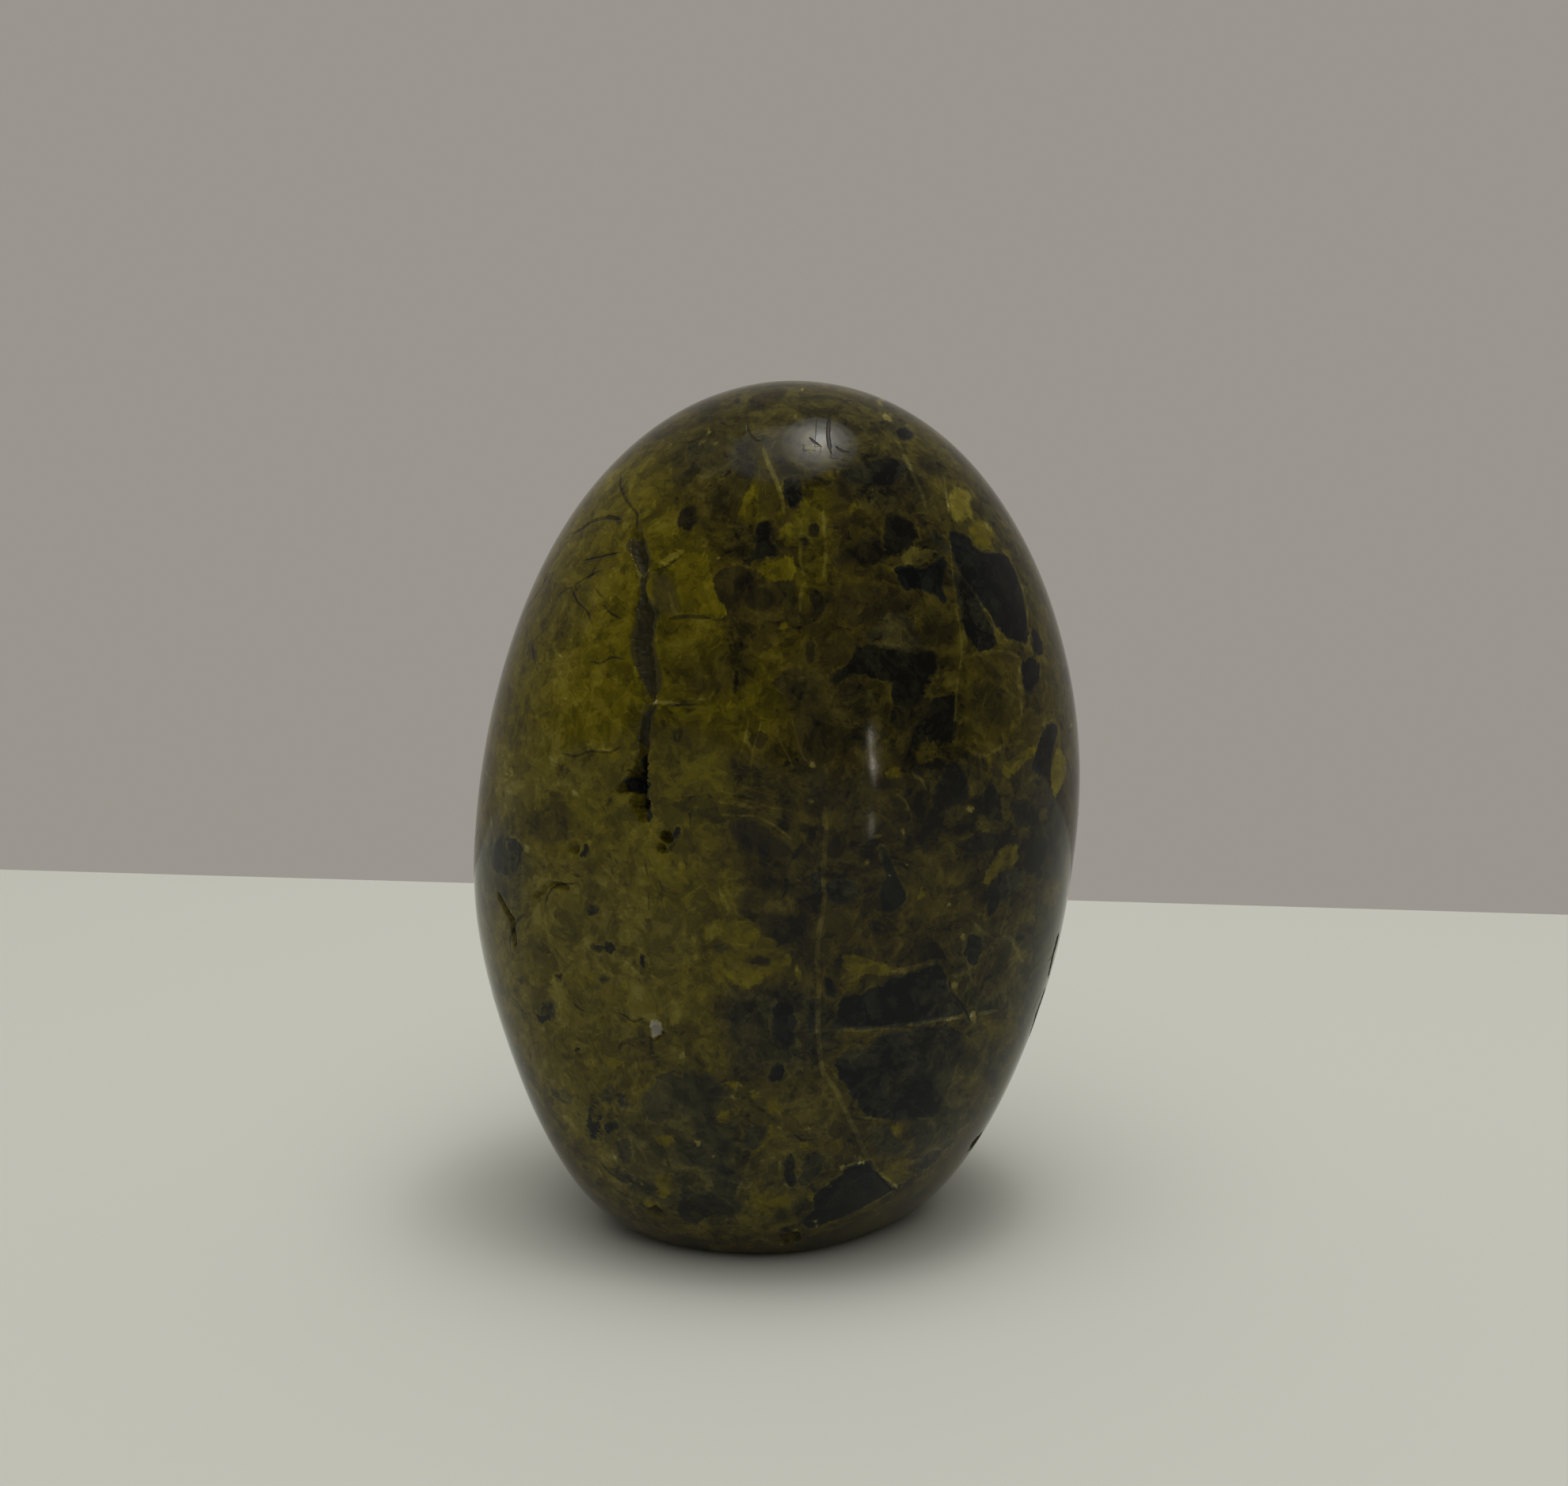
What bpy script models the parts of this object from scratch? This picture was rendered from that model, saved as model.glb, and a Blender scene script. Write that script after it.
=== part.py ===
"""Olive jasper freeform: one polished, free-standing stone, shaped like a leaning egg.

It stands on a small ground flat. Its skin keeps the soft flats of hand grinding, one long
open fissure down the left of the front, and a few short cracks, pits and edge chips.
Metres, +Z up. The origin is on the plane of the ground flat, under the middle of the box.
Azimuth 0 is +X, the right side seen from the front, and azimuth 90 is -Y, the front.
"""

import math
import random

import bmesh
import bpy
import numpy as np
from mathutils import Matrix, Vector

MM = 0.001

# Driving dimensions of the plain body, before flats and swells
HALF_WIDTH = 38.6 * MM
HALF_DEPTH = 30.9 * MM
HALF_HEIGHT = 57.2 * MM
CENTRE_HEIGHT = 52.5 * MM
LEAN = math.radians(3.94)
TOP_FULLNESS = 2.05     # 2 is a plain ellipsoid, more is fuller at the shoulders
LOW_FULLNESS = 2.64

# Flats left by grinding: azimuth, elevation, share of the body's reach that is kept
FLATS = (
    (108, 2, 0.970),
    (2, -26, 0.969),
    (176, -26, 0.956),
    (48, -40, 0.991),
    (238, -4, 0.950),
    (305, 6, 0.960),
)
FLAT_BLEND = 2.0 * MM
SHALLOWEST_FACING = 0.12

# Broad swells and hollows of the skin: azimuth, elevation, height
SWELLS = (
    (0, 40, 0.06 * MM),
    (0, 15, 0.29 * MM),
    (0, -38, -0.55 * MM),
    (180, 40, -0.16 * MM),
    (180, 15, 0.07 * MM),
    (180, -10, 0.89 * MM),
    (180, -38, -0.74 * MM),
    (30, -52, -0.27 * MM),
    (150, -52, 0.62 * MM),
    (90, -55, 0.47 * MM),
    (255, 38, 0.45 * MM),
    (285, -30, 0.50 * MM),
)
SWELL_SPREAD = math.radians(15)

# Open cracks, each a run of azimuth, elevation, half width and depth
CRACKS = {
    "long_fissure_top": (
        (134.6, 59.0, 0.80 * MM, 0.7 * MM),
        (132.0, 57.0, 1.00 * MM, 1.0 * MM),
        (128.8, 55.0, 0.80 * MM, 0.8 * MM),
    ),
    "long_fissure_middle": (
        (128.5, 53.8, 0.75 * MM, 0.8 * MM),
        (127.4, 51.3, 0.65 * MM, 0.9 * MM),
        (124.6, 48.8, 1.05 * MM, 1.2 * MM),
        (124.5, 45.0, 1.20 * MM, 1.2 * MM),
        (122.5, 40.3, 1.20 * MM, 1.1 * MM),
        (121.0, 36.4, 0.80 * MM, 0.8 * MM),
    ),
    "long_fissure_foot": (
        (121.0, 35.2, 0.70 * MM, 0.8 * MM),
        (122.0, 31.5, 0.65 * MM, 0.9 * MM),
        (122.0, 27.5, 0.65 * MM, 1.1 * MM),
        (122.3, 24.5, 0.95 * MM, 2.0 * MM),
        (123.3, 21.5, 1.25 * MM, 2.6 * MM),
        (122.8, 18.8, 1.25 * MM, 2.3 * MM),
        (122.4, 16.3, 1.15 * MM, 2.0 * MM),
        (121.6, 13.3, 0.60 * MM, 0.8 * MM),
    ),
    "long_fissure_spur": (
        (123.5, 21.0, 1.00 * MM, 1.8 * MM),
        (126.0, 19.3, 0.85 * MM, 1.2 * MM),
        (127.4, 18.6, 0.50 * MM, 0.6 * MM),
    ),
    "left_arch": (
        (146.3, -6.6, 0.45 * MM, 0.5 * MM),
        (143.2, -3.6, 0.50 * MM, 0.6 * MM),
        (139.0, -3.8, 0.45 * MM, 0.5 * MM),
    ),
    "left_edge": (
        (157.5, -8.5, 0.45 * MM, 0.5 * MM),
        (152.8, -12.0, 0.50 * MM, 0.6 * MM),
        (152.0, -16.5, 0.45 * MM, 0.5 * MM),
    ),
    "right_upper": (
        (14.0, -19.0, 0.50 * MM, 0.5 * MM),
        (15.5, -22.5, 0.55 * MM, 0.6 * MM),
        (15.0, -26.0, 0.50 * MM, 0.5 * MM),
    ),
    "right_lower": (
        (15.0, -29.5, 0.55 * MM, 0.6 * MM),
        (17.0, -33.0, 0.60 * MM, 0.7 * MM),
        (16.0, -37.0, 0.50 * MM, 0.5 * MM),
    ),
    "back_seam": (
        (262.0, 34.0, 0.45 * MM, 0.5 * MM),
        (256.0, 25.0, 0.65 * MM, 0.8 * MM),
        (257.5, 15.0, 0.70 * MM, 0.9 * MM),
        (251.0, 5.0, 0.60 * MM, 0.7 * MM),
        (252.5, -4.0, 0.45 * MM, 0.5 * MM),
    ),
    "back_branch": (
        (257.0, 17.0, 0.55 * MM, 0.6 * MM),
        (264.0, 13.5, 0.50 * MM, 0.5 * MM),
        (269.0, 12.0, 0.40 * MM, 0.4 * MM),
    ),
}
CRACK_STEP = 1.3 * MM       # spacing of the sections along a crack
CRACK_WANDER = 0.16 * MM    # how far a section strays sideways
CRACK_UNEVENNESS = 0.16     # how much a section's width varies
CRACK_SIDES = 8
CRACK_TIP = 0.8 * MM        # how far a crack tapers past its last point

# Pits and edge chips: azimuth, elevation, radius, depth
PITS = (
    (116.0, 9.8, 0.85 * MM, 0.9 * MM),
    (117.3, 7.2, 0.75 * MM, 0.6 * MM),
    (137.5, 4.6, 0.85 * MM, 0.6 * MM),
    (118.0, -31.5, 0.85 * MM, 0.5 * MM),
    (86.0, -66.5, 1.40 * MM, 0.8 * MM),
    (126.0, -60.0, 1.30 * MM, 0.7 * MM),
    (24.0, -55.0, 1.50 * MM, 0.9 * MM),
    (300.0, -48.0, 1.70 * MM, 0.9 * MM),
    (218.0, 30.0, 1.20 * MM, 0.7 * MM),
    (322.0, 12.0, 1.10 * MM, 0.7 * MM),
    (205.0, -20.0, 1.00 * MM, 0.6 * MM),
)
PIT_UNEVENNESS = 0.14
PIT_LEVELS = 2

CHANCE_SEED = 11

# Mesh
SPHERE_LEVELS = 5
RIM_BEVEL = 0.7 * MM
RIM_SEGMENTS = 2
SHARP_FROM = math.radians(45)
GRIND_TOLERANCE = 1e-7      # how close to the ground plane a point counts as on it
SHORTEST_EDGE = 0.1 * MM    # edges below this are closed up at the ground flat

# Finish
STONE_COLOUR = (0.115, 0.105, 0.022, 1.0)
STONE_ROUGHNESS = 0.2


def clear_scene():
    """Remove whatever the opened scene holds."""
    for thing in list(bpy.data.objects):
        bpy.data.objects.remove(thing, do_unlink=True)


def facing(azimuth, elevation):
    """Unit vector for an azimuth and elevation in degrees."""
    around = math.radians(azimuth)
    up = math.radians(elevation)
    level = math.cos(up)
    return np.array((level * math.cos(around), -level * math.sin(around), math.sin(up)))


def plain_reach(directions):
    """Distance from the centre to a leaning body, fuller below its middle than above."""
    along_x = directions[:, 0] * math.cos(LEAN) - directions[:, 2] * math.sin(LEAN)
    along_z = directions[:, 0] * math.sin(LEAN) + directions[:, 2] * math.cos(LEAN)
    fullness = np.where(along_z > 0, TOP_FULLNESS, LOW_FULLNESS)
    level = np.hypot(along_x / HALF_WIDTH, directions[:, 1] / HALF_DEPTH)
    height = np.abs(along_z / HALF_HEIGHT)
    return (level ** fullness + height ** fullness) ** (-1 / fullness)


def body_reach(directions):
    """Distance from the centre to the skin, with its flats and swells."""
    reach = plain_reach(directions)
    cut = np.ones(len(directions))
    for azimuth, elevation, share in FLATS:
        normal = facing(azimuth, elevation)
        to_plane = share * farthest(normal) / np.maximum(directions @ normal, SHALLOWEST_FACING)
        cut += np.exp(np.clip((reach - to_plane) / FLAT_BLEND, -50, 50))
    reach = reach - FLAT_BLEND * np.log(cut)
    sharpness = 2 * (1 - math.cos(SWELL_SPREAD))
    for azimuth, elevation, height in SWELLS:
        closeness = directions @ facing(azimuth, elevation) - 1
        reach = reach + height * np.exp(closeness / sharpness)
    return reach


def farthest(normal):
    """How far the plain body reaches along a direction."""
    return float((PROBES @ normal).max())


def sphere_directions(bm):
    """Unit vector to each vertex of a sphere."""
    directions = np.array([vertex.co[:] for vertex in bm.verts])
    return directions / np.linalg.norm(directions, axis=1)[:, None]


def plain_probes():
    """Points all over the plain body, for measuring how far it reaches."""
    bm = bmesh.new()
    bmesh.ops.create_icosphere(bm, subdivisions=SPHERE_LEVELS + 1, radius=1.0)
    directions = sphere_directions(bm)
    bm.free()
    return directions * plain_reach(directions)[:, None]


PROBES = plain_probes()


def place_on_skin(azimuth, elevation, centre):
    """The point of the skin seen from the centre at an azimuth and elevation."""
    direction = facing(azimuth, elevation)
    return Vector(direction * body_reach(direction[None, :])[0]) + centre


def grind_base(bm):
    """Cut the stone off level where it stands, close the cut and ease its rim."""
    everything = bm.verts[:] + bm.edges[:] + bm.faces[:]
    cut = bmesh.ops.bisect_plane(bm, geom=everything, dist=GRIND_TOLERANCE,
                                 plane_co=(0, 0, 0), plane_no=(0, 0, 1), clear_inner=True)
    rim = [piece for piece in cut["geom_cut"] if isinstance(piece, bmesh.types.BMEdge)]
    bmesh.ops.edgeloop_fill(bm, edges=rim)
    bmesh.ops.dissolve_degenerate(bm, dist=SHORTEST_EDGE, edges=bm.edges[:])
    base = min(bm.faces, key=lambda face: face.calc_center_median().z)
    bmesh.ops.bevel(bm, geom=list(base.edges), offset=RIM_BEVEL, segments=RIM_SEGMENTS,
                    profile=0.5, affect="EDGES")


def crack_sections(path, centre, chance):
    """Places, half widths and depths along a crack, closely and unevenly spaced."""
    points = [place_on_skin(azimuth, elevation, centre) for azimuth, elevation, _, _ in path]
    sections = []
    for i in range(len(path) - 1):
        count = max(1, round((points[i + 1] - points[i]).length / CRACK_STEP))
        last = i == len(path) - 2
        for k in range(count + (1 if last else 0)):
            share = k / count
            azimuth, elevation, half_width, depth = (
                a + share * (b - a) for a, b in zip(path[i], path[i + 1]))
            place = place_on_skin(azimuth, elevation, centre)
            half_width *= 1 + chance.uniform(-CRACK_UNEVENNESS, CRACK_UNEVENNESS)
            sections.append((place, half_width, depth))
    return sections


def crack_cutter(name, path, centre, chance):
    """A long tapered body, oval in section, that carves one crack."""
    sections = crack_sections(path, centre, chance)
    places = [place for place, _, _ in sections]
    bm = bmesh.new()
    rings = []
    for i, (place, half_width, depth) in enumerate(sections):
        outward = (place - centre).normalized()
        along = places[min(i + 1, len(places) - 1)] - places[max(i - 1, 0)]
        along = (along - along.dot(outward) * outward).normalized()
        across = outward.cross(along)
        middle = place + across * chance.uniform(-CRACK_WANDER, CRACK_WANDER)
        ring = []
        for k in range(CRACK_SIDES):
            turn = math.tau * (k + 0.5) / CRACK_SIDES
            offset = across * half_width * math.cos(turn) + outward * depth * math.sin(turn)
            ring.append(bm.verts.new(middle + offset))
        rings.append(ring)
        if i == 0:
            first_tip = bm.verts.new(middle - along * CRACK_TIP)
        if i == len(sections) - 1:
            last_tip = bm.verts.new(middle + along * CRACK_TIP)
    for k in range(CRACK_SIDES):
        n = (k + 1) % CRACK_SIDES
        bm.faces.new((first_tip, rings[0][n], rings[0][k]))
        bm.faces.new((last_tip, rings[-1][k], rings[-1][n]))
        for ring, next_ring in zip(rings, rings[1:]):
            bm.faces.new((ring[k], ring[n], next_ring[n], next_ring[k]))
    return finish_cutter(name, bm)


def pit_cutter(name, azimuth, elevation, radius, depth, centre, chance):
    """A small uneven lens that carves one pit or chip."""
    place = place_on_skin(azimuth, elevation, centre)
    outward = (place - centre).normalized()
    turn = outward.to_track_quat("Z", "Y").to_matrix().to_4x4()
    bm = bmesh.new()
    bmesh.ops.create_icosphere(bm, subdivisions=PIT_LEVELS, radius=1.0)
    for vertex in bm.verts:
        vertex.co *= 1 + chance.uniform(-PIT_UNEVENNESS, PIT_UNEVENNESS)
    size = Matrix.Diagonal((radius, radius, depth, 1))
    bmesh.ops.transform(bm, matrix=Matrix.Translation(place) @ turn @ size, verts=bm.verts[:])
    return finish_cutter(name, bm)


def finish_cutter(name, bm):
    """Turn a cutter's mesh into a hidden guide object."""
    bmesh.ops.triangulate(bm, faces=bm.faces[:])
    bmesh.ops.recalc_face_normals(bm, faces=bm.faces[:])
    mesh = bpy.data.meshes.new(name)
    bm.to_mesh(mesh)
    bm.free()
    cutter = bpy.data.objects.new(name, mesh)
    cutter.hide_render = True
    cutter.display_type = "WIRE"
    return cutter


def make_cutters(centre):
    """Every crack and pit, as guide objects in a collection of their own."""
    chance = random.Random(CHANCE_SEED)
    cutters = bpy.data.collections.new("cutters")
    bpy.context.scene.collection.children.link(cutters)
    for name, path in CRACKS.items():
        cutters.objects.link(crack_cutter(name, path, centre, chance))
    for i, pit in enumerate(PITS):
        cutters.objects.link(pit_cutter(f"pit_{i + 1}", *pit, centre, chance))
    return cutters


def stone_material():
    """Polished olive-green jasper."""
    material = bpy.data.materials.new("olive_jasper")
    material.use_nodes = True
    shader = material.node_tree.nodes["Principled BSDF"]
    shader.inputs["Base Color"].default_value = STONE_COLOUR
    shader.inputs["Roughness"].default_value = STONE_ROUGHNESS
    shader.inputs["Metallic"].default_value = 0.0
    return material


def make_body():
    """The uncarved stone on its ground flat, and the point its skin is measured from."""
    bm = bmesh.new()
    bmesh.ops.create_icosphere(bm, subdivisions=SPHERE_LEVELS, radius=1.0)
    directions = sphere_directions(bm)
    points = directions * body_reach(directions)[:, None]
    middle = (points.min(axis=0) + points.max(axis=0)) / 2
    centre = Vector((-middle[0], -middle[1], CENTRE_HEIGHT))
    for vertex, point in zip(bm.verts, points):
        vertex.co = Vector(point) + centre
    grind_base(bm)
    bmesh.ops.triangulate(bm, faces=bm.faces[:])
    bmesh.ops.recalc_face_normals(bm, faces=bm.faces[:])
    mesh = bpy.data.meshes.new("stone")
    bm.to_mesh(mesh)
    bm.free()
    mesh.shade_smooth()
    mesh.set_sharp_from_angle(angle=SHARP_FROM)
    mesh.materials.append(stone_material())
    stone = bpy.data.objects.new("stone", mesh)
    bpy.context.scene.collection.objects.link(stone)
    return stone, centre


def carve(stone, cutters):
    """Cut every crack and pit out of the stone."""
    for cutter in cutters.objects:
        cut = stone.modifiers.new(cutter.name, "BOOLEAN")
        cut.operation = "DIFFERENCE"
        cut.object = cutter
        cut.solver = "EXACT"


def main():
    clear_scene()
    stone, centre = make_body()
    carve(stone, make_cutters(centre))


main()
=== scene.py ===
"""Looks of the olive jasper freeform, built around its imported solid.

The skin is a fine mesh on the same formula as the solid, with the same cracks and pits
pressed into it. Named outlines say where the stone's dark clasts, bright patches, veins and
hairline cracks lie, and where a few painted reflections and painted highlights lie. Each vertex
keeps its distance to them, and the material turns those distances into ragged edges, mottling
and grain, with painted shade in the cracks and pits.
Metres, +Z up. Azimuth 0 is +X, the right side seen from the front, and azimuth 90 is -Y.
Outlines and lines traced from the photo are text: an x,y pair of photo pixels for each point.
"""

import math
import random

import bmesh
import bpy
import numpy as np
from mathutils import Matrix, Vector, noise


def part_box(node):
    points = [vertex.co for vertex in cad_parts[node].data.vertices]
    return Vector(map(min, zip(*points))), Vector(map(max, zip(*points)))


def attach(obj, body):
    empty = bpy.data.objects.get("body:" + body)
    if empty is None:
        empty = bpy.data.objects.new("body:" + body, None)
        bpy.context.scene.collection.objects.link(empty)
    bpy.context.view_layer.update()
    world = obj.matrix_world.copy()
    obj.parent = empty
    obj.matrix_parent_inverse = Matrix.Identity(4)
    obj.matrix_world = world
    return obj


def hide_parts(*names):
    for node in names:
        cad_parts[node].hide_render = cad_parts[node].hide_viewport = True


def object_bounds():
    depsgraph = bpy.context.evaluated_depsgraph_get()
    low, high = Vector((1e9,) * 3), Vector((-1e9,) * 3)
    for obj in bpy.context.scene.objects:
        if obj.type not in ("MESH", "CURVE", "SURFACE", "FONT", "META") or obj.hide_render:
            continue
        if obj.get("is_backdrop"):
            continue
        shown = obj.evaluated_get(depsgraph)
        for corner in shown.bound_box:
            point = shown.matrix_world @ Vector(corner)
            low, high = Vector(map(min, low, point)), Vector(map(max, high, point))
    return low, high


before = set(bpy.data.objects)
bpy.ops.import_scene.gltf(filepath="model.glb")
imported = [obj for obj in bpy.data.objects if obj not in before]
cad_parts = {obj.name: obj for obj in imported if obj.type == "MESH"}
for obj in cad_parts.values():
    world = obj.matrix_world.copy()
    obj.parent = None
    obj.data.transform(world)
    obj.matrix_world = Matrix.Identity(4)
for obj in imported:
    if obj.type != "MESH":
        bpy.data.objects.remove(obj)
CAD_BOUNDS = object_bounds()

MM = 0.001

# Plain body, as in the solid
HALF_WIDTH = 38.6 * MM
HALF_DEPTH = 30.9 * MM
HALF_HEIGHT = 57.2 * MM
CENTRE_HEIGHT = 52.5 * MM
LEAN = math.radians(3.94)
TOP_FULLNESS = 2.05
LOW_FULLNESS = 2.64

# Grinding flats: azimuth, elevation, share of the reach that is kept
FLATS = (
    (108, 2, 0.970),
    (2, -26, 0.969),
    (176, -26, 0.956),
    (48, -40, 0.991),
    (238, -4, 0.950),
    (305, 6, 0.960),
)
FLAT_BLEND = 2.0 * MM
SHALLOWEST_FACING = 0.12

# Swells and hollows: azimuth, elevation, height
SWELLS = (
    (0, 40, 0.06 * MM),
    (0, 15, 0.29 * MM),
    (0, -38, -0.55 * MM),
    (180, 40, -0.16 * MM),
    (180, 15, 0.07 * MM),
    (180, -10, 0.89 * MM),
    (180, -38, -0.74 * MM),
    (30, -52, -0.27 * MM),
    (150, -52, 0.62 * MM),
    (90, -55, 0.47 * MM),
    (255, 38, 0.45 * MM),
    (285, -30, 0.50 * MM),
)
SWELL_SPREAD = math.radians(15)

# Open cracks: azimuth, elevation, half width and depth in mm
CRACKS = {
    "long_fissure_top": ((134.6, 59, 0.8, 0.7), (132, 57, 1.0, 1.0), (128.8, 55, 0.8, 0.8)),
    "long_fissure_middle": ((128.5, 53.8, 0.75, 0.8), (127.4, 51.3, 0.65, 0.9),
                            (124.6, 48.8, 1.05, 1.2), (124.5, 45, 1.2, 1.2),
                            (122.5, 40.3, 1.2, 1.1), (121, 36.4, 0.8, 0.8)),
    "long_fissure_foot": ((121, 35.2, 0.7, 0.8), (122, 31.5, 0.65, 0.9),
                          (122, 27.5, 0.65, 1.1), (122.3, 24.5, 0.95, 2.0),
                          (123.3, 21.5, 1.25, 2.6), (122.8, 18.8, 1.25, 2.3),
                          (122.4, 16.3, 1.15, 2.0), (121.6, 13.3, 0.6, 0.8)),
    "long_fissure_spur": ((123.5, 21, 1.0, 1.8), (126, 19.3, 0.85, 1.2), (127.4, 18.6, 0.5, 0.6)),
    "left_arch": ((146.3, -6.6, 0.45, 0.5), (143.2, -3.6, 0.5, 0.6), (139, -3.8, 0.45, 0.5)),
    "left_edge": ((157.5, -8.5, 0.45, 0.5), (152.8, -12, 0.5, 0.6), (152, -16.5, 0.45, 0.5)),
    "right_upper": ((14, -19, 0.5, 0.5), (15.5, -22.5, 0.55, 0.6), (15, -26, 0.5, 0.5)),
    "right_lower": ((15, -29.5, 0.55, 0.6), (17, -33, 0.6, 0.7), (16, -37, 0.5, 0.5)),
    "back_seam": ((262, 34, 0.45, 0.5), (256, 25, 0.65, 0.8), (257.5, 15, 0.7, 0.9),
                  (251, 5, 0.6, 0.7), (252.5, -4, 0.45, 0.5)),
    "back_branch": ((257, 17, 0.55, 0.6), (264, 13.5, 0.5, 0.5), (269, 12, 0.4, 0.4)),
}

# Pits and edge chips: azimuth, elevation, radius and depth in mm
PITS = (
    (116.0, 9.8, 0.85, 0.9),
    (117.3, 7.2, 0.75, 0.6),
    (137.5, 4.6, 0.85, 0.6),
    (118.0, -31.5, 0.85, 0.5),
    (86.0, -66.5, 1.40, 0.8),
    (126.0, -60.0, 1.30, 0.7),
    (24.0, -55.0, 1.50, 0.9),
    (300.0, -48.0, 1.70, 0.9),
    (218.0, 30.0, 1.20, 0.7),
    (322.0, 12.0, 1.10, 0.7),
    (205.0, -20.0, 1.00, 0.6),
)

CUT_MARGIN = 0.6 * MM       # how far past its width the uneven edge of a cut may lie
CRACK_FULLNESS = 0.6        # power of a crack's cross section: 1 is a parabola, and less is fuller
PIT_FULLNESS = 0.7

# Unevenness: height, or share of the width or depth it changes, size and octaves
CUT_EDGE_WAVES = ((0.28, 1.1 * MM, 3), (0.12, 0.4 * MM, 3))
CUT_FLOOR_WAVES = ((0.30, 0.7 * MM, 3),)
POLISH_WAVES = ((0.022 * MM, 9 * MM, 2), (0.006 * MM, 2.5 * MM, 2))
WAVES_START = 0.5 * MM      # the polish is even up to this height above the ground
WAVES_BLEND = 2.0 * MM      # and has its full waves this much higher

# Skin mesh
GRID_CUTS = 111             # cuts along each side of the cube that is blown up to a sphere
FRONT = (90, 10)            # azimuth and elevation round which the points lie closer together
FRONT_PULL = 0.30           # how much closer they lie there than behind
FINE_MARGINS = (0.5 * MM, 0.1 * MM)     # skin beside a cut that is divided once, and once more
RIM_BLEND = 0.25 * MM       # rounding where the skin meets the ground flat
LEAST_DOWN = 1e-6           # a direction that points down less than this never meets the ground
EXPONENT_LIMIT = 50
PROBE_SUBDIVISIONS = 6

# Camera, as solved from the photo's outline
PHOTO_WIDTH = 1980
PHOTO_HEIGHT = 1876
LENS = 50.0
SENSOR = 36.0
FOCAL_PIXELS = PHOTO_WIDTH * LENS / SENSOR
CAMERA_PITCH = math.radians(12)
CAMERA_FROM_AXIS = np.array((0.72, -276.0, 121.96)) * MM

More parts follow.
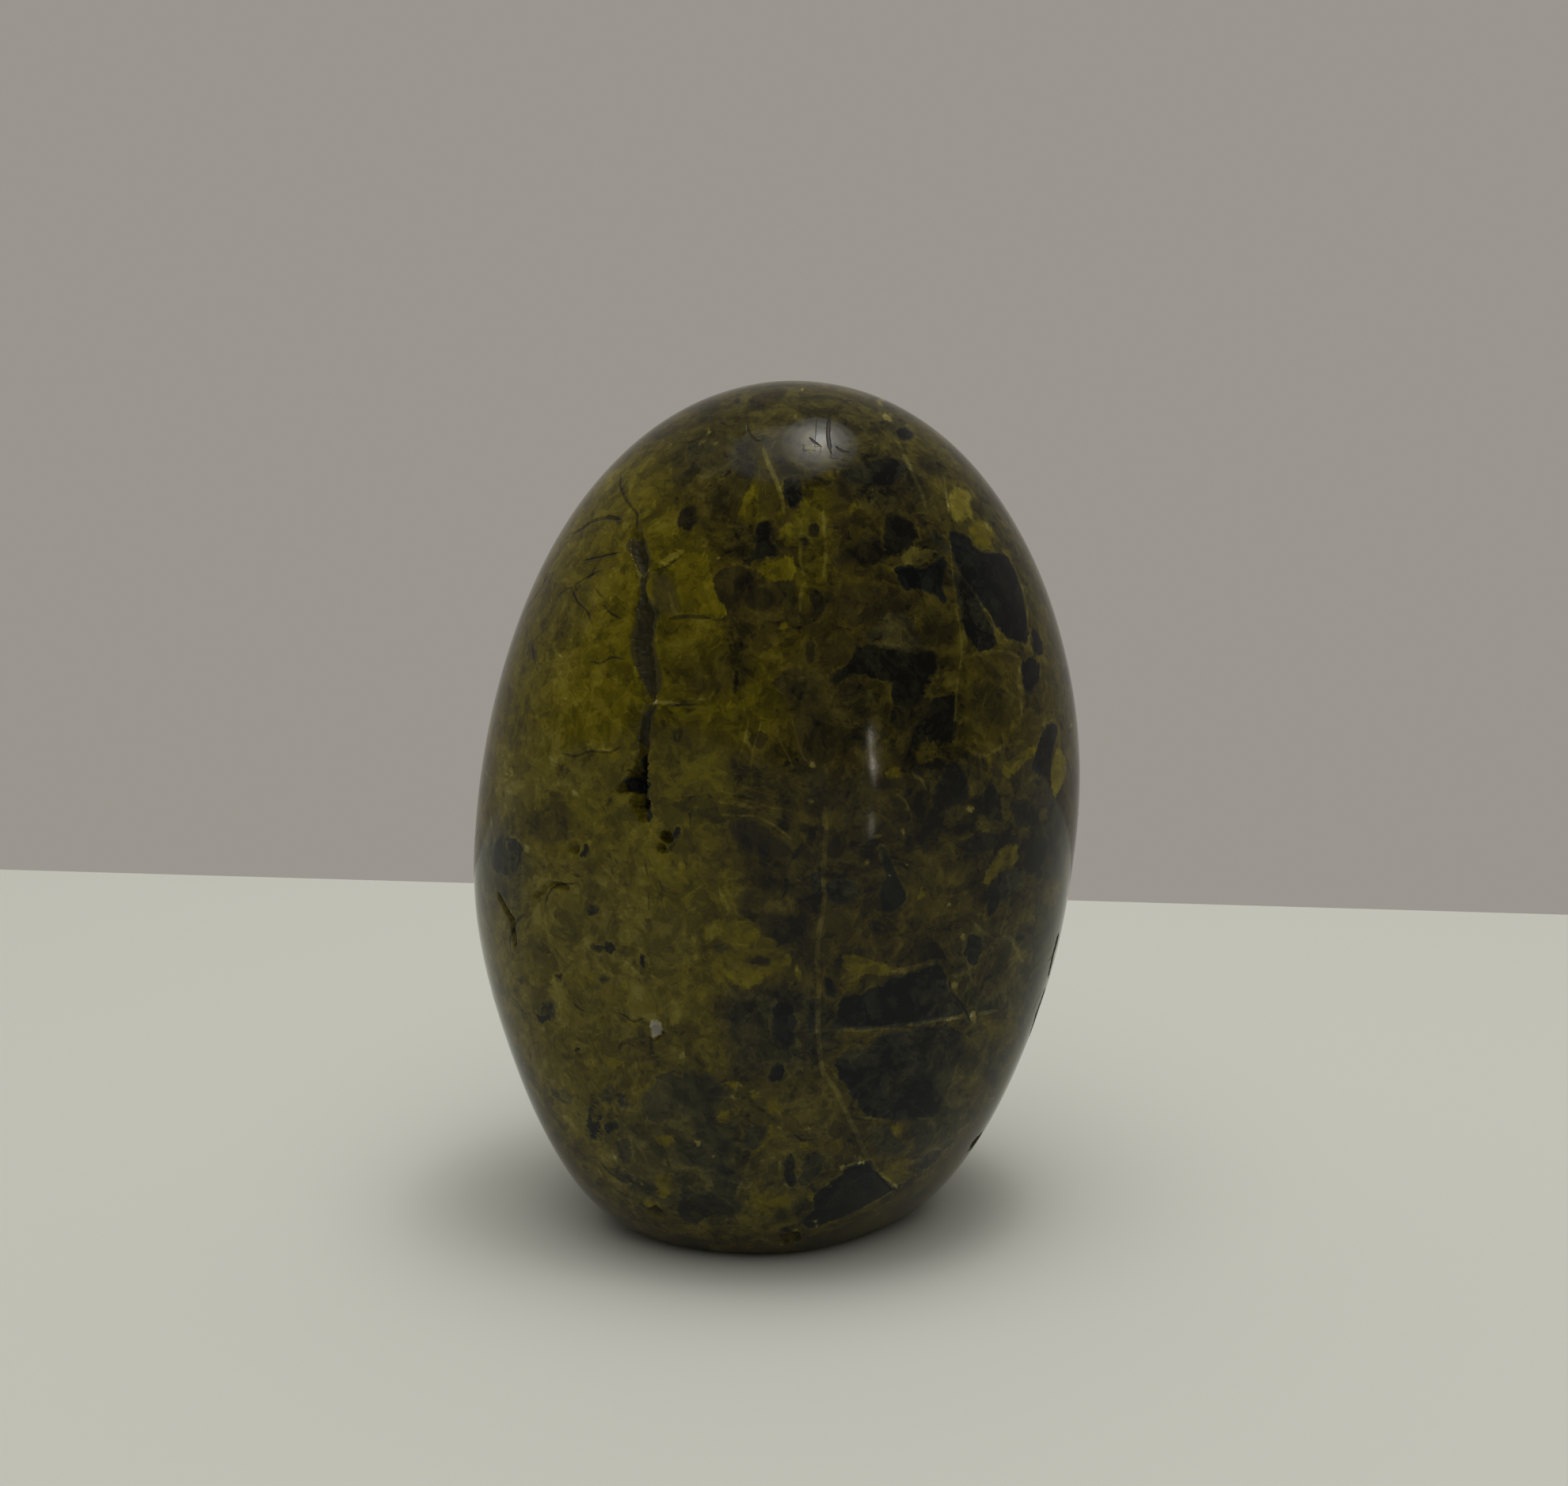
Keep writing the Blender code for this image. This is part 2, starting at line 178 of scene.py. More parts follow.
# Soft regions of the front: edge softness in mm, tone from 0, black, to 1, lime, then the shares
# of brown, khaki and cool hues, and the outline. A later one lies over those before it
REGIONS = {
    # The top region's grey cast is partly the stone's tone and partly painted reflection of the ceiling, down
    # to where that reflection ends
    "top": (4.0, 0.31, 0.3, 0.4, 0.1,
        "850,560 930,470 1080,470 1170,540 1150,600 1050,600 980,590 900,600 840,610"),
    "upper_right": (2.5, 0.29, 0.2, 0.22, 0.0,
        "1140,510 1210,560 1310,690 1350,800 1365,930 1320,930 1300,790 1270,700 1200,680 1170,640 "
        "1150,580"),
    "upper_brown": (3.0, 0.31, 0.85, 0.0, 0.0,
        "880,650 960,640 1060,650 1200,650 1215,800 1140,830 1040,800 990,800 930,800 905,740"),
    "left_yellow": (4.0, 0.48, 0.0, -0.08, 0.0,
        "700,640 770,585 850,560 862,660 915,700 925,790 905,850 960,830 1000,850 975,930 920,990 "
        "930,1090 985,1160 985,1230 900,1250 880,1330 820,1310 700,1180 590,1090 590,900 640,740"),
    "left_bright": (4.0, 0.6, 0.0, -0.05, 0.0,
        "690,790 740,750 790,770 800,870 790,940 750,960 700,930 675,860"),
    "beside_fissure": (2.5, 0.40, 0.15, 0.0, 0.0,
        "835,790 900,790 940,850 900,900 870,1000 835,990 840,880"),
    "left_khaki": (5.0, 0.51, 0.0, 0.35, 0.0,
        "590,1040 700,1080 800,1100 860,1220 870,1330 800,1400 790,1500 700,1480 620,1330 590,1200"),
    # A grey band at the left rim: painted reflection of the bright surroundings at the grazing edge
    "left_edge_painted_reflection": (2.0, 0.31, 0.0, 0.8, 0.15, "590,1050 640,1040 665,1080 660,1130 640,1150 590,1150"),
    "yellow_lumps": (1.5, 0.43, 0.0, 0.05, 0.0,
        "830,1150 880,1130 950,1150 990,1180 985,1230 940,1250 880,1250 840,1210"),
    "centre_olive": (2.5, 0.25, 0.45, -0.1, 0.0,
        "935,950 990,900 1035,900 1040,1000 1035,1060 960,1100 920,1060 905,1000"),
    "centre_column": (1.5, 0.27, 0.85, 0.0, 0.15,
        "1042,850 1100,860 1112,930 1110,1000 1095,1035 1045,1035 1040,950"),
    "under_centre": (1.5, 0.22, 0.3, 0.1, 0.5,
        "915,1262 930,1248 1035,1240 1035,1340 1000,1370 960,1370 925,1355 912,1300"),
    "bottom_left": (3.0, 0.34, 0.05, 0.35, 0.35,
        "775,1420 820,1360 900,1350 960,1420 960,1500 940,1590 840,1580 780,1510"),
    "bottom_middle": (1.5, 0.33, 0.2, 0.4, 0.0,
        "940,1350 1040,1350 1090,1420 1060,1480 1020,1540 1010,1590 930,1590 935,1490"),
    "right_middle": (1.5, 0.21, 0.7, 0.0, 0.0,
        "1050,1160 1140,1140 1200,1150 1230,1190 1180,1220 1050,1230"),
    "right_block": (1.0, 0.43, 0.7, 0.05, 0.0,
        "1210,838 1225,828 1260,822 1280,825 1290,838 1288,858 1290,905 1300,920 1297,940 1265,945 "
        "1240,960 1215,945"),
    "right_dark": (2.0, 0.07, 0.4, 0.05, 0.0,
        "1180,1000 1240,1000 1300,1000 1345,1010 1350,1090 1290,1130 1240,1160 1200,1080"),
    "right_lower": (2.5, 0.31, 0.0, 0.45, 0.35,
        "1190,1180 1300,1150 1370,1100 1350,1250 1280,1420 1200,1520 1150,1500 1190,1400 1225,1300"),
    "brown_band": (1.2, 0.25, 0.85, 0.0, 0.02,
        "900,745 930,720 960,738 1000,742 1012,790 960,798 925,790 905,772"),
    "brown_below": (1.0, 0.27, 0.75, 0.0, 0.0,
        "925,790 950,780 980,780 985,800 955,822 945,835 952,850 935,878 900,880 872,870 872,855 905,850 "
        "925,825"),
    "diagonal": (0.8, 0.38, 0.1, 0.0, 0.0, "945,850 980,812 1005,795 1022,798 1015,815 985,835 960,858"),
    "column": (0.8, 0.38, 0.1, 0.0, 0.0,
        "1013,600 1030,600 1050,625 1050,740 1035,745 1015,770 1002,745 1000,640"),
    "right_olive_grey": (1.0, 0.2, 0.2, 0.3, 0.15,
        "1222,1225 1240,1195 1265,1195 1275,1215 1265,1250 1235,1255"),
    "centre_low_brown": (1.2, 0.13, 0.6, 0.0, 0.1,
        "985,1150 1030,1100 1040,1130 1035,1230 1010,1235 985,1200"),
    "around_vein": (1.5, 0.12, 0.6, -0.05, 0.05,
        "965,1085 1010,1045 1090,1040 1150,1060 1140,1150 1050,1150 1000,1140 965,1130"),
    "right_of_streak": (1.5, 0.16, 0.7, 0.0, 0.0,
        "1112,940 1170,945 1205,955 1200,1060 1150,1070 1112,1050"),
    "low_light": (1.5, 0.46, 0.1, 0.2, 0.0, "845,1285 905,1270 915,1310 925,1350 880,1350 845,1340"),
    "low_left_shade": (1.5, 0.36, 0.2, 0.2, 0.0, "775,1330 850,1335 850,1385 800,1400 770,1375"),
    "right_foot": (1.5, 0.22, 0.05, 0.35, 0.45,
        "1165,1320 1215,1330 1215,1400 1200,1480 1160,1500 1150,1440"),
    "lower_patch": (2.0, 0.52, 0.0, 0.3, 0.0, "810,1150 870,1150 880,1200 850,1230 815,1210"),
    "left_light": (2.0, 0.60, 0.0, 0.25, 0.0, "640,920 740,925 745,1000 660,1030 625,1010"),
    "beside_neck": (1.5, 0.42, 0.0, -0.05, 0.0, "895,885 960,865 985,890 960,945 905,960 880,930"),
    "upper_dark_left": (1.0, 0.22, 0.6, 0.0, 0.0, "928,655 985,650 992,700 955,722 928,708"),
    "yellow_core": (2.0, 0.42, 0.0, -0.4, 0.0, "800,950 900,960 940,1000 900,1040 820,1050 790,1000"),
    "left_mid_shade": (1.0, 0.36, 0.1, -0.1, 0.0, "865,1045 925,1050 940,1110 900,1130 870,1090"),
    "centre_foot_shade": (1.2, 0.25, 0.3, 0.0, 0.1, "925,1125 1000,1120 1000,1170 940,1170"),
    "under_centre_deep": (1.0, 0.12, 0.4, 0.1, 0.4, "1000,1270 1060,1265 1060,1330 1005,1330"),
    "foot_shade": (1.0, 0.10, 0.2, 0.4, 0.0, "1000,1515 1100,1500 1180,1475 1185,1530 1100,1570 1010,1580"),
    "bottom_left_light": (1.0, 0.62, 0.05, 0.3, 0.0,
        "715,1525 860,1530 900,1560 900,1590 800,1600 720,1560"),
    "right_upper_brown": (1.0, 0.20, 0.6, 0.1, 0.1, "1130,685 1215,680 1215,725 1180,760 1130,765"),
    "above_centre": (0.8, 0.22, 0.6, 0.0, 0.1, "1010,845 1060,845 1060,890 1015,890"),
    "under_kite": (1.0, 0.52, 0.0, 0.0, 0.0, "832,778 900,785 895,812 838,818"),
    "above_right_block": (1.0, 0.42, 0.4, 0.1, 0.0, "1140,798 1300,795 1300,822 1215,826 1140,820"),
    "left_upper_shade": (1.5, 0.42, 0.1, 0.1, 0.0, "660,735 745,740 745,800 700,820 655,800"),
    "mid_foot_shade": (1.0, 0.20, 0.3, 0.2, 0.1, "1060,1360 1100,1365 1100,1480 1060,1475"),
    "streak_side_shade": (1.0, 0.10, 0.5, 0.0, 0.1, "1175,965 1220,965 1220,1010 1180,1010"),
    "right_side_shade": (1.0, 0.10, 0.5, 0.0, 0.1, "1260,965 1340,965 1340,1010 1265,1010"),
    "upper_wedge": (0.6, 0.42, 0.1, 0.0, 0.0,
        "962,562 975,590 988,625 990,655 950,660 930,658 945,620 955,590"),
    "upper_right_dark": (1.5, 0.17, 0.3, 0.2, 0.3,
        "1055,575 1100,568 1150,580 1170,610 1175,650 1150,655 1100,640 1065,625"),
}

# Marks of the front with clear edges: kind, edge softness in mm, outline
MARKS = {
    "top_dark_streak": ("brown", 0.5, "945,515 950,500 985,490 995,493 990,505 960,520"),
    "top_left_clast": ("moss", 0.8,
        "850,600 845,580 860,545 880,530 905,512 925,512 945,540 940,550 905,550 880,558 866,575 872,595 "
        "862,615 852,612"),
    "top_pale_patch": ("dun", 0.3, "945,520 960,519 961,532 946,534"),
    "top_right_block": ("cool", 0.35, "1130,540 1148,540 1154,550 1143,557 1135,553"),
    # A grey patch over the top-left clast: painted reflection of the ceiling, its lower edge where that
    # reflection ends
    "top_left_painted_reflection": ("grey", 0.4,
        "872,568 885,560 905,552 925,550 945,553 955,560 957,585 955,600 940,597 925,592 910,600 895,605 "
        "885,600 875,590 868,578"),
    # A pale patch just under the lamp's reflection at the top: partly dun stone, partly painted highlight
    "dun_and_painted_highlight": ("dun", 0.4, "1020,590 1040,585 1050,575 1060,580 1060,592 1025,598"),
    "upper_right_patch": ("brown", 0.4, "1156,580 1165,575 1178,580 1180,592 1172,597 1160,590"),
    "upper_right_clast": ("basalt", 0.4,
        "1058,600 1070,592 1085,588 1105,580 1125,578 1140,583 1150,592 1135,603 1128,612 1118,616 "
        "1100,612 1085,615 1075,612"),
    "top_small_brown": ("brown", 0.3, "983,590 1013,589 1014,598 984,599"),
    "olive_triangle": ("moss", 0.4,
        "900,612 925,592 940,592 955,600 950,610 940,625 930,640 905,650 897,625"),
    "cone_inside": ("olive", 0.5, "958,600 970,592 983,612 985,645 970,655 957,640"),
    "lime_cap": ("olive", 0.3, "1200,597 1215,597 1228,602 1230,615 1222,620 1205,612"),
    "upper_right_brown": ("brown", 0.4,
        "1130,608 1142,602 1152,610 1160,625 1165,640 1160,648 1140,645 1130,635"),
    "top_small_clast": ("basalt", 0.4, "990,603 1010,603 1013,625 1008,643 998,643 990,630"),
    "upper_right_umber": ("umber", 0.4, "1055,605 1075,610 1078,622 1070,632 1058,630"),
    "yellow_cone": ("yellow", 0.3, "950,608 957,612 953,625 945,640 938,655 930,660 930,648 938,632"),
    "lime_block": ("lime", 0.3, "1198,618 1205,613 1215,616 1224,622 1227,640 1228,652 1222,656 1200,658"),
    "upper_brown_core": ("umber", 0.4, "858,640 868,636 880,640 882,655 872,672 860,670"),
    "dotted_black": ("black", 0.4,
        "1118,650 1130,648 1140,652 1152,652 1155,665 1160,680 1152,688 1142,692 1135,702 1120,705 "
        "1116,690"),
    "lime_block_lower": ("yellow", 0.4, "1222,662 1240,655 1252,665 1253,680 1248,695 1238,695 1228,685"),
    "upper_black": ("black", 0.4,
        "958,658 972,660 975,680 983,700 975,705 955,708 945,715 938,708 950,698 955,680"),
    "dark_oval": ("umber", 0.3, "1022,662 1030,659 1035,668 1033,678 1024,678"),
    "yellow_drop": ("yellow", 0.4, "987,663 1000,662 1001,690 990,692"),
    "upper_left_bright": ("yellow", 0.5, "742,678 755,668 768,665 772,675 768,690 755,698 745,690"),
    "crescent_slate": ("slate", 0.4, "1165,668 1185,672 1200,690 1195,700 1185,695 1175,680"),
    "right_clast_outer": ("ink", 0.3,
        "1195,670 1215,672 1225,680 1232,692 1245,698 1270,700 1280,718 1290,745 1293,760 1297,785 "
        "1298,812 1285,812 1275,805 1262,795 1250,778 1235,755 1208,718"),
    "fissure_head": ("fill", 0.25,
        "791,688 796,679 808,676 815,680 819,695 822,712 820,719 806,721 803,705 797,697 792,694"),
    "brown_wedge": ("umber", 0.4,
        "1053,705 1065,695 1095,680 1115,682 1118,700 1125,708 1100,712 1053,712"),
    "crescent": ("dun", 0.35,
        "1133,710 1145,697 1155,691 1165,690 1178,697 1180,702 1172,712 1162,716 1150,712"),
    "kite_neighbour": ("lime", 0.4, "832,708 840,702 850,696 868,693 860,703 848,709 840,714"),
    "kite_right_dark": ("umber", 0.3, "915,694 940,693 941,702 916,703"),
    "kite": ("yellow", 0.3,
        "848,715 858,702 870,697 885,697 897,705 898,722 900,740 905,750 912,762 918,772 915,780 908,785 "
        "902,778 890,773 872,772 862,768 857,752 852,730"),
    "crescent_shadow": ("ink", 0.3,
        "1130,715 1150,715 1165,718 1180,712 1190,702 1195,715 1190,745 1197,760 1190,765 1183,750 "
        "1160,742 1145,745 1135,735"),
    "centre_yellow": ("yellow", 0.4,
        "957,718 962,710 980,705 1000,703 1005,715 1003,728 998,735 975,733 965,728"),
    "yellow_strip": ("olive", 0.35, "1062,720 1090,715 1110,712 1122,715 1127,722 1110,730 1065,735"),
    "right_clast_inner": ("basalt", 0.3,
        "1207,722 1215,735 1225,750 1235,757 1245,778 1253,790 1260,815 1243,822 1232,818 1218,800 "
        "1213,770 1208,740"),
    "fissure_fill": ("fill", 0.25,
        "806,726 812,722 821,722 820,730 816,738 817,750 823,760 829,775 828,790 826,805 826,818 831,832 "
        "835,848 836,862 833,874 825,881 817,876 811,862 805,848 800,836 796,822 797,806 801,790 803,775 "
        "804,758 806,742"),
    "kite_side": ("dun", 0.4, "820,726 836,722 851,733 856,755 860,770 848,776 832,774 824,765"),
    "right_clast_dark": ("cool", 0.5,
        "1207,728 1216,730 1230,748 1240,770 1243,800 1228,803 1216,790 1209,760"),
    "centre_brown": ("umber", 0.4, "935,757 943,738 975,745 980,755 978,768 965,770 950,765"),
    "centre_umber": ("brown", 0.7,
        "1060,745 1120,740 1150,745 1185,765 1140,775 1110,785 1080,790 1060,775"),
    "column_dark_spot": ("umber", 0.3, "1021,745 1030,742 1040,750 1042,772 1030,778"),
    "centre_olive_yellow": ("moss", 0.6, "1158,752 1200,752 1206,800 1203,818 1168,815"),
    "centre_pale_brown": ("grey", 0.5,
        "1090,800 1130,770 1150,775 1160,800 1175,815 1150,828 1120,818 1090,812"),
    "pale_yellow_spot": ("yellow", 0.3, "983,787 990,783 998,788 996,797 985,797"),
    "right_clast_chip": ("ink", 0.4, "1302,790 1310,795 1318,820 1315,830 1303,820"),
    "centre_dark_olive": ("umber", 0.3, "1018,810 1026,809 1026,835 1018,836"),
    "centre_lobes": ("black", 0.4,
        "1068,838 1075,825 1085,815 1100,813 1130,822 1142,826 1165,820 1180,820 1184,830 1182,845 "
        "1168,872 1160,885 1148,893 1132,893 1126,880 1126,862 1100,858 1085,850 1075,852 1055,866 "
        "1048,860 1055,848"),
    "right_block_shadow": ("ink", 0.4, "1290,833 1302,830 1313,840 1312,862 1300,877 1292,870"),
    "purple_clast": ("purple", 0.5,
        "975,865 990,848 1010,846 1030,852 1038,870 1045,900 1045,960 1040,1040 1015,1000 1010,930 "
        "1000,880"),
    "clast_edge_dark": ("umber", 0.3, "975,862 988,850 1000,848 997,860 985,868"),
    "right_block_core": ("moss", 1.0, "1225,870 1265,865 1272,900 1260,918 1230,912"),
    "centre_lower_black": ("black", 0.6,
        "1165,905 1180,885 1207,872 1206,900 1203,935 1195,945 1180,938 1165,935 1150,945 1140,940 "
        "1150,925 1158,912"),
    "low_yellow_patch": ("yellow", 0.35, "938,882 950,875 957,880 952,892 940,892"),
    "fissure_neck": ("fill", 0.25,
        "820,888 832,890 827,900 823,918 820,938 812,943 805,935 807,915 812,898"),
    "moss_patch": ("yellow", 0.35, "848,895 860,892 868,900 862,910 850,907"),
    "right_sliver": ("ink", 0.35,
        "1330,911 1335,918 1332,940 1327,965 1326,985 1315,982 1303,968 1309,950 1315,930 1320,918"),
    "right_leaf": ("yellow", 0.3,
        "1335,940 1342,950 1348,965 1345,985 1338,997 1332,1008 1328,995 1327,970 1330,955"),
    "mid_slate": ("umber", 0.4, "1125,943 1140,942 1155,950 1155,962 1140,966 1127,962"),
    "right_band": ("gold", 0.35,
        "1265,975 1270,962 1285,952 1300,943 1310,945 1305,957 1293,965 1285,975 1272,983"),
    "fissure_hole": ("black", 0.25,
        "811,947 816,957 814,970 810,978 815,988 823,988 818,998 820,1012 824,1028 820,1038 815,1035 "
        "812,1025 803,1020 803,1010 807,1000 795,998 784,997 786,985 795,980 802,965 806,955"),
    "right_column_yellow": ("gold", 0.3, "1245,952 1252,952 1253,985 1246,986"),
    "right_round_black": ("black", 0.4,
        "1200,962 1210,965 1220,980 1223,1000 1222,1010 1205,1015 1190,1022 1183,1015 1182,1000 1188,985 "
        "1196,975"),
    "mid_yellow_streak": ("gold", 0.3, "1115,975 1130,970 1142,973 1135,982 1122,985"),
    "right_band_lower": ("olive", 0.4, "1262,985 1278,983 1278,1035 1268,1040 1262,1020"),
    "right_column_slate": ("black", 0.4, "1243,992 1256,991 1257,1020 1244,1021"),
    "left_brown_patch": ("olive", 0.7,
        "698,998 710,1005 718,1020 722,1040 725,1055 718,1065 690,1062 668,1058 665,1045 675,1030 "
        "690,1015"),
    "right_slate_block": ("black", 0.4, "1280,1010 1298,1008 1300,1040 1285,1045"),
    "dun_band": ("moss", 0.35, "1183,1027 1200,1020 1215,1013 1228,1018 1225,1027 1212,1035 1202,1040"),
    "vein_column": ("olive", 0.3, "1038,1015 1050,1014 1051,1045 1040,1046"),
    "right_olive_blob": ("moss", 0.3, "1310,1025 1320,1020 1326,1028 1322,1036 1312,1035"),
    "centre_clast": ("umber", 0.5,
        "930,1032 950,1035 965,1045 980,1058 995,1072 990,1080 975,1082 960,1080 945,1075 930,1062 "
        "925,1045"),
    "right_olive_strip": ("moss", 0.4, "1230,1038 1275,1035 1276,1048 1232,1050"),
    "left_chip": ("black", 0.3, "856,1042 860,1050 855,1060 847,1063 845,1058 850,1050"),
    "centre_bright": ("olive", 0.35, "990,1048 1005,1046 1020,1055 1012,1068 1000,1072 990,1062"),
    "right_grey_wedge": ("black", 0.4,
        "1203,1065 1220,1062 1240,1052 1258,1050 1262,1060 1250,1073 1235,1080 1220,1076"),
    "right_grey_chip": ("black", 0.4,
        "1293,1085 1298,1068 1310,1055 1322,1060 1320,1080 1312,1098 1300,1105 1292,1098"),
    "left_chip_far": ("black", 0.3, "740,1062 745,1070 742,1080 733,1080 737,1072"),
    "right_olive_band": ("gold", 0.4,
        "1252,1085 1265,1070 1285,1065 1287,1080 1280,1093 1265,1100 1252,1110 1245,1118 1243,1110"),
    "centre_sliver": ("ink", 0.3,
        "1113,1068 1120,1078 1128,1095 1135,1112 1143,1125 1143,1135 1135,1145 1125,1152 1113,1150 "
        "1112,1120 1120,1110 1115,1090"),
    "right_low_sliver": ("basalt", 0.4,
        "1258,1112 1268,1100 1282,1098 1293,1108 1290,1120 1280,1130 1265,1140"),
    "low_slate_left": ("basalt", 0.4, "1020,1100 1035,1100 1035,1125 1022,1125"),
    "right_yellow_brown": ("olive", 0.5,
        "1155,1112 1170,1110 1192,1110 1195,1122 1203,1140 1205,1155 1185,1157 1148,1160 1145,1148 "
        "1157,1122"),
    "low_slate": ("basalt", 0.5, "1045,1110 1085,1112 1085,1138 1060,1142 1045,1135"),
    "right_dark_sliver": ("ink", 0.3,
        "1252,1122 1262,1120 1262,1138 1255,1150 1250,1158 1245,1155 1248,1140"),
    "moss_centre": ("umber", 0.6, "960,1155 985,1150 1008,1160 1005,1180 985,1195 965,1180"),
    "dark_column": ("umber", 0.5, "1008,1155 1022,1155 1022,1205 1015,1215 1008,1200"),
    "yellow_lump": ("yellow", 0.4,
        "882,1168 895,1163 925,1160 950,1165 958,1178 955,1190 940,1195 925,1192 905,1190 890,1188"),
    "yellow_lump_bright": ("lime", 0.35, "888,1172 905,1168 912,1180 900,1188 890,1183"),
    "right_inner_dark": ("cool", 0.4,
        "1220,1185 1232,1180 1240,1188 1238,1205 1232,1218 1222,1215 1218,1200"),
    "yellow_ring": ("gold", 0.3, "958,1188 965,1183 977,1183 984,1192 978,1203 967,1208 959,1202"),
    "right_pale_leaf": ("dun", 0.4, "1278,1188 1285,1190 1295,1200 1300,1208 1290,1217 1282,1212"),
    "moss_between": ("moss", 0.4, "897,1190 920,1190 925,1198 905,1202"),
    "yellow_over_dark": ("gold", 0.4,
        "1060,1205 1075,1203 1090,1205 1100,1208 1112,1215 1125,1222 1120,1232 1105,1232 1080,1230 "
        "1065,1225"),
    "small_gold": ("gold", 0.3, "984,1210 992,1205 1000,1210 998,1218 988,1219"),
    "brown_between": ("brown", 0.4, "943,1212 955,1206 975,1210 972,1220 950,1222"),
    "yellow_lump_left": ("yellow", 0.35, "895,1218 905,1212 915,1218 918,1230 912,1240 902,1238"),
    "big_upper_ink": ("ink", 0.3, "1178,1219 1188,1217 1191,1227 1180,1229"),
    "big_upper_dark": ("cool", 0.4,
        "1060,1262 1075,1255 1092,1255 1100,1250 1108,1243 1120,1240 1125,1233 1140,1232 1150,1228 "
        "1165,1225 1180,1220 1190,1218 1195,1232 1197,1245 1203,1257 1212,1268 1222,1280 1200,1283 "
        "1175,1290 1140,1297 1100,1298 1060,1298 1045,1298 1060,1280"),
    "small_gold_right": ("gold", 0.3, "1001,1222 1008,1218 1012,1230 1009,1238 1003,1236"),
    "yellow_lump_low": ("yellow", 0.4,
        "918,1238 925,1228 945,1222 960,1225 967,1232 962,1245 945,1246 930,1242"),
    "deep_dark_left": ("ink", 0.4, "1040,1235 1050,1233 1056,1245 1056,1260 1043,1262"),
    "under_yellow": ("gold", 0.35, "1065,1240 1075,1237 1088,1240 1092,1250 1080,1254 1066,1250"),
    "big_upper_light": ("basalt", 0.4, "1165,1258 1190,1250 1205,1262 1208,1273 1180,1275 1168,1270"),
    "deep_dark": ("ink", 0.4, "980,1265 1000,1262 1003,1280 1005,1300 998,1325 985,1328 978,1310 976,1290"),
    "deep_dark_side": ("cool", 0.4, "1020,1262 1028,1262 1029,1300 1020,1306"),
    "under_light": ("slate", 0.4, "960,1263 978,1262 980,1275 970,1282 960,1275"),
    "right_yellow": ("olive", 0.8, "1240,1285 1262,1278 1285,1285 1285,1310 1265,1322 1248,1315"),
    "white_spot": ("white", 0.4, "822,1292 828,1287 833,1293 836,1302 831,1309 823,1307"),
    "cross_yellow": ("olive", 0.4, "1070,1292 1095,1291 1096,1310 1075,1311"),
    "big_lower_dark": ("cool", 0.4,
        "1105,1315 1120,1303 1150,1302 1190,1292 1210,1300 1216,1318 1208,1345 1200,1362 1195,1380 "
        "1185,1395 1180,1408 1160,1412 1145,1415 1120,1412 1105,1410 1090,1405 1082,1390 1070,1375 "
        "1060,1360 1052,1342 1070,1330 1090,1325"),
    "big_lower_light": ("basalt", 0.5,
        "1148,1308 1190,1292 1210,1300 1218,1315 1215,1330 1205,1345 1200,1362 1195,1380 1187,1390 "
        "1182,1375 1178,1358 1168,1352 1170,1340 1160,1328 1147,1322"),
    "big_lower_left": ("basalt", 0.5, "1062,1328 1085,1325 1100,1322 1105,1332 1090,1342 1068,1340"),
    "deep_dark_foot": ("ink", 0.4, "968,1360 975,1348 985,1341 991,1352 989,1367 975,1368"),
    "right_khaki": ("dun", 0.6, "1222,1360 1245,1350 1248,1375 1240,1398 1222,1402"),
    "big_lower_patch": ("basalt", 0.5, "1115,1358 1150,1352 1150,1370 1140,1382 1120,1385"),
    "low_clast": ("slate", 0.6,
        "806,1390 812,1378 828,1372 840,1360 852,1356 880,1354 898,1362 910,1370 912,1385 900,1392 "
        "905,1405 903,1425 912,1435 922,1440 925,1455 918,1470 930,1478 940,1488 935,1500 930,1515 "
        "942,1525 928,1535 905,1535 880,1545 860,1540 855,1525 860,1505 858,1492 868,1500 885,1507 "
        "898,1505 900,1490 885,1475 868,1472 855,1470 852,1455 860,1448 875,1445 880,1440 875,1420 "
        "872,1410 862,1405 840,1408 825,1415 815,1405"),
    "low_clast_ink": ("cool", 0.5, "865,1362 880,1358 900,1366 898,1378 880,1382 868,1374"),
    "low_left_grey": ("grey", 0.4, "695,1373 705,1378 712,1372 720,1380 725,1390 718,1393 700,1385"),
    "low_oval": ("basalt", 0.4, "763,1418 775,1414 781,1424 772,1432 764,1428"),
    "foot_brown": ("brown", 0.4, "1045,1425 1055,1415 1065,1418 1070,1430 1065,1438 1050,1438"),
    "foot_slate_right": ("slate", 0.5, "1148,1420 1172,1415 1180,1430 1172,1450 1155,1452"),
    "low_moss": ("moss", 0.4, "805,1420 822,1418 825,1430 815,1436 806,1428"),
    "foot_gold_arc": ("gold", 0.35,
        "972,1420 980,1418 975,1438 962,1452 950,1466 944,1462 955,1448 966,1436"),
    "foot_slate": ("slate", 0.4,
        "1100,1425 1110,1418 1122,1422 1128,1435 1140,1440 1150,1446 1140,1455 1110,1460 1100,1450"),
    "foot_yellow_dot": ("yellow", 0.3, "1122,1418 1132,1418 1141,1428 1138,1435 1130,1432"),
    "foot_grey": ("slate", 0.4, "945,1425 955,1420 968,1422 966,1435 962,1442 950,1450 940,1445 938,1435"),
    "low_yellow": ("yellow", 0.4, "830,1434 848,1432 852,1442 840,1450 830,1446"),
    "low_leaf": ("slate", 0.4, "778,1440 793,1436 795,1455 797,1470 788,1472 780,1458"),
    "foot_gold_right": ("gold", 0.35, "1043,1442 1060,1438 1064,1450 1048,1456"),
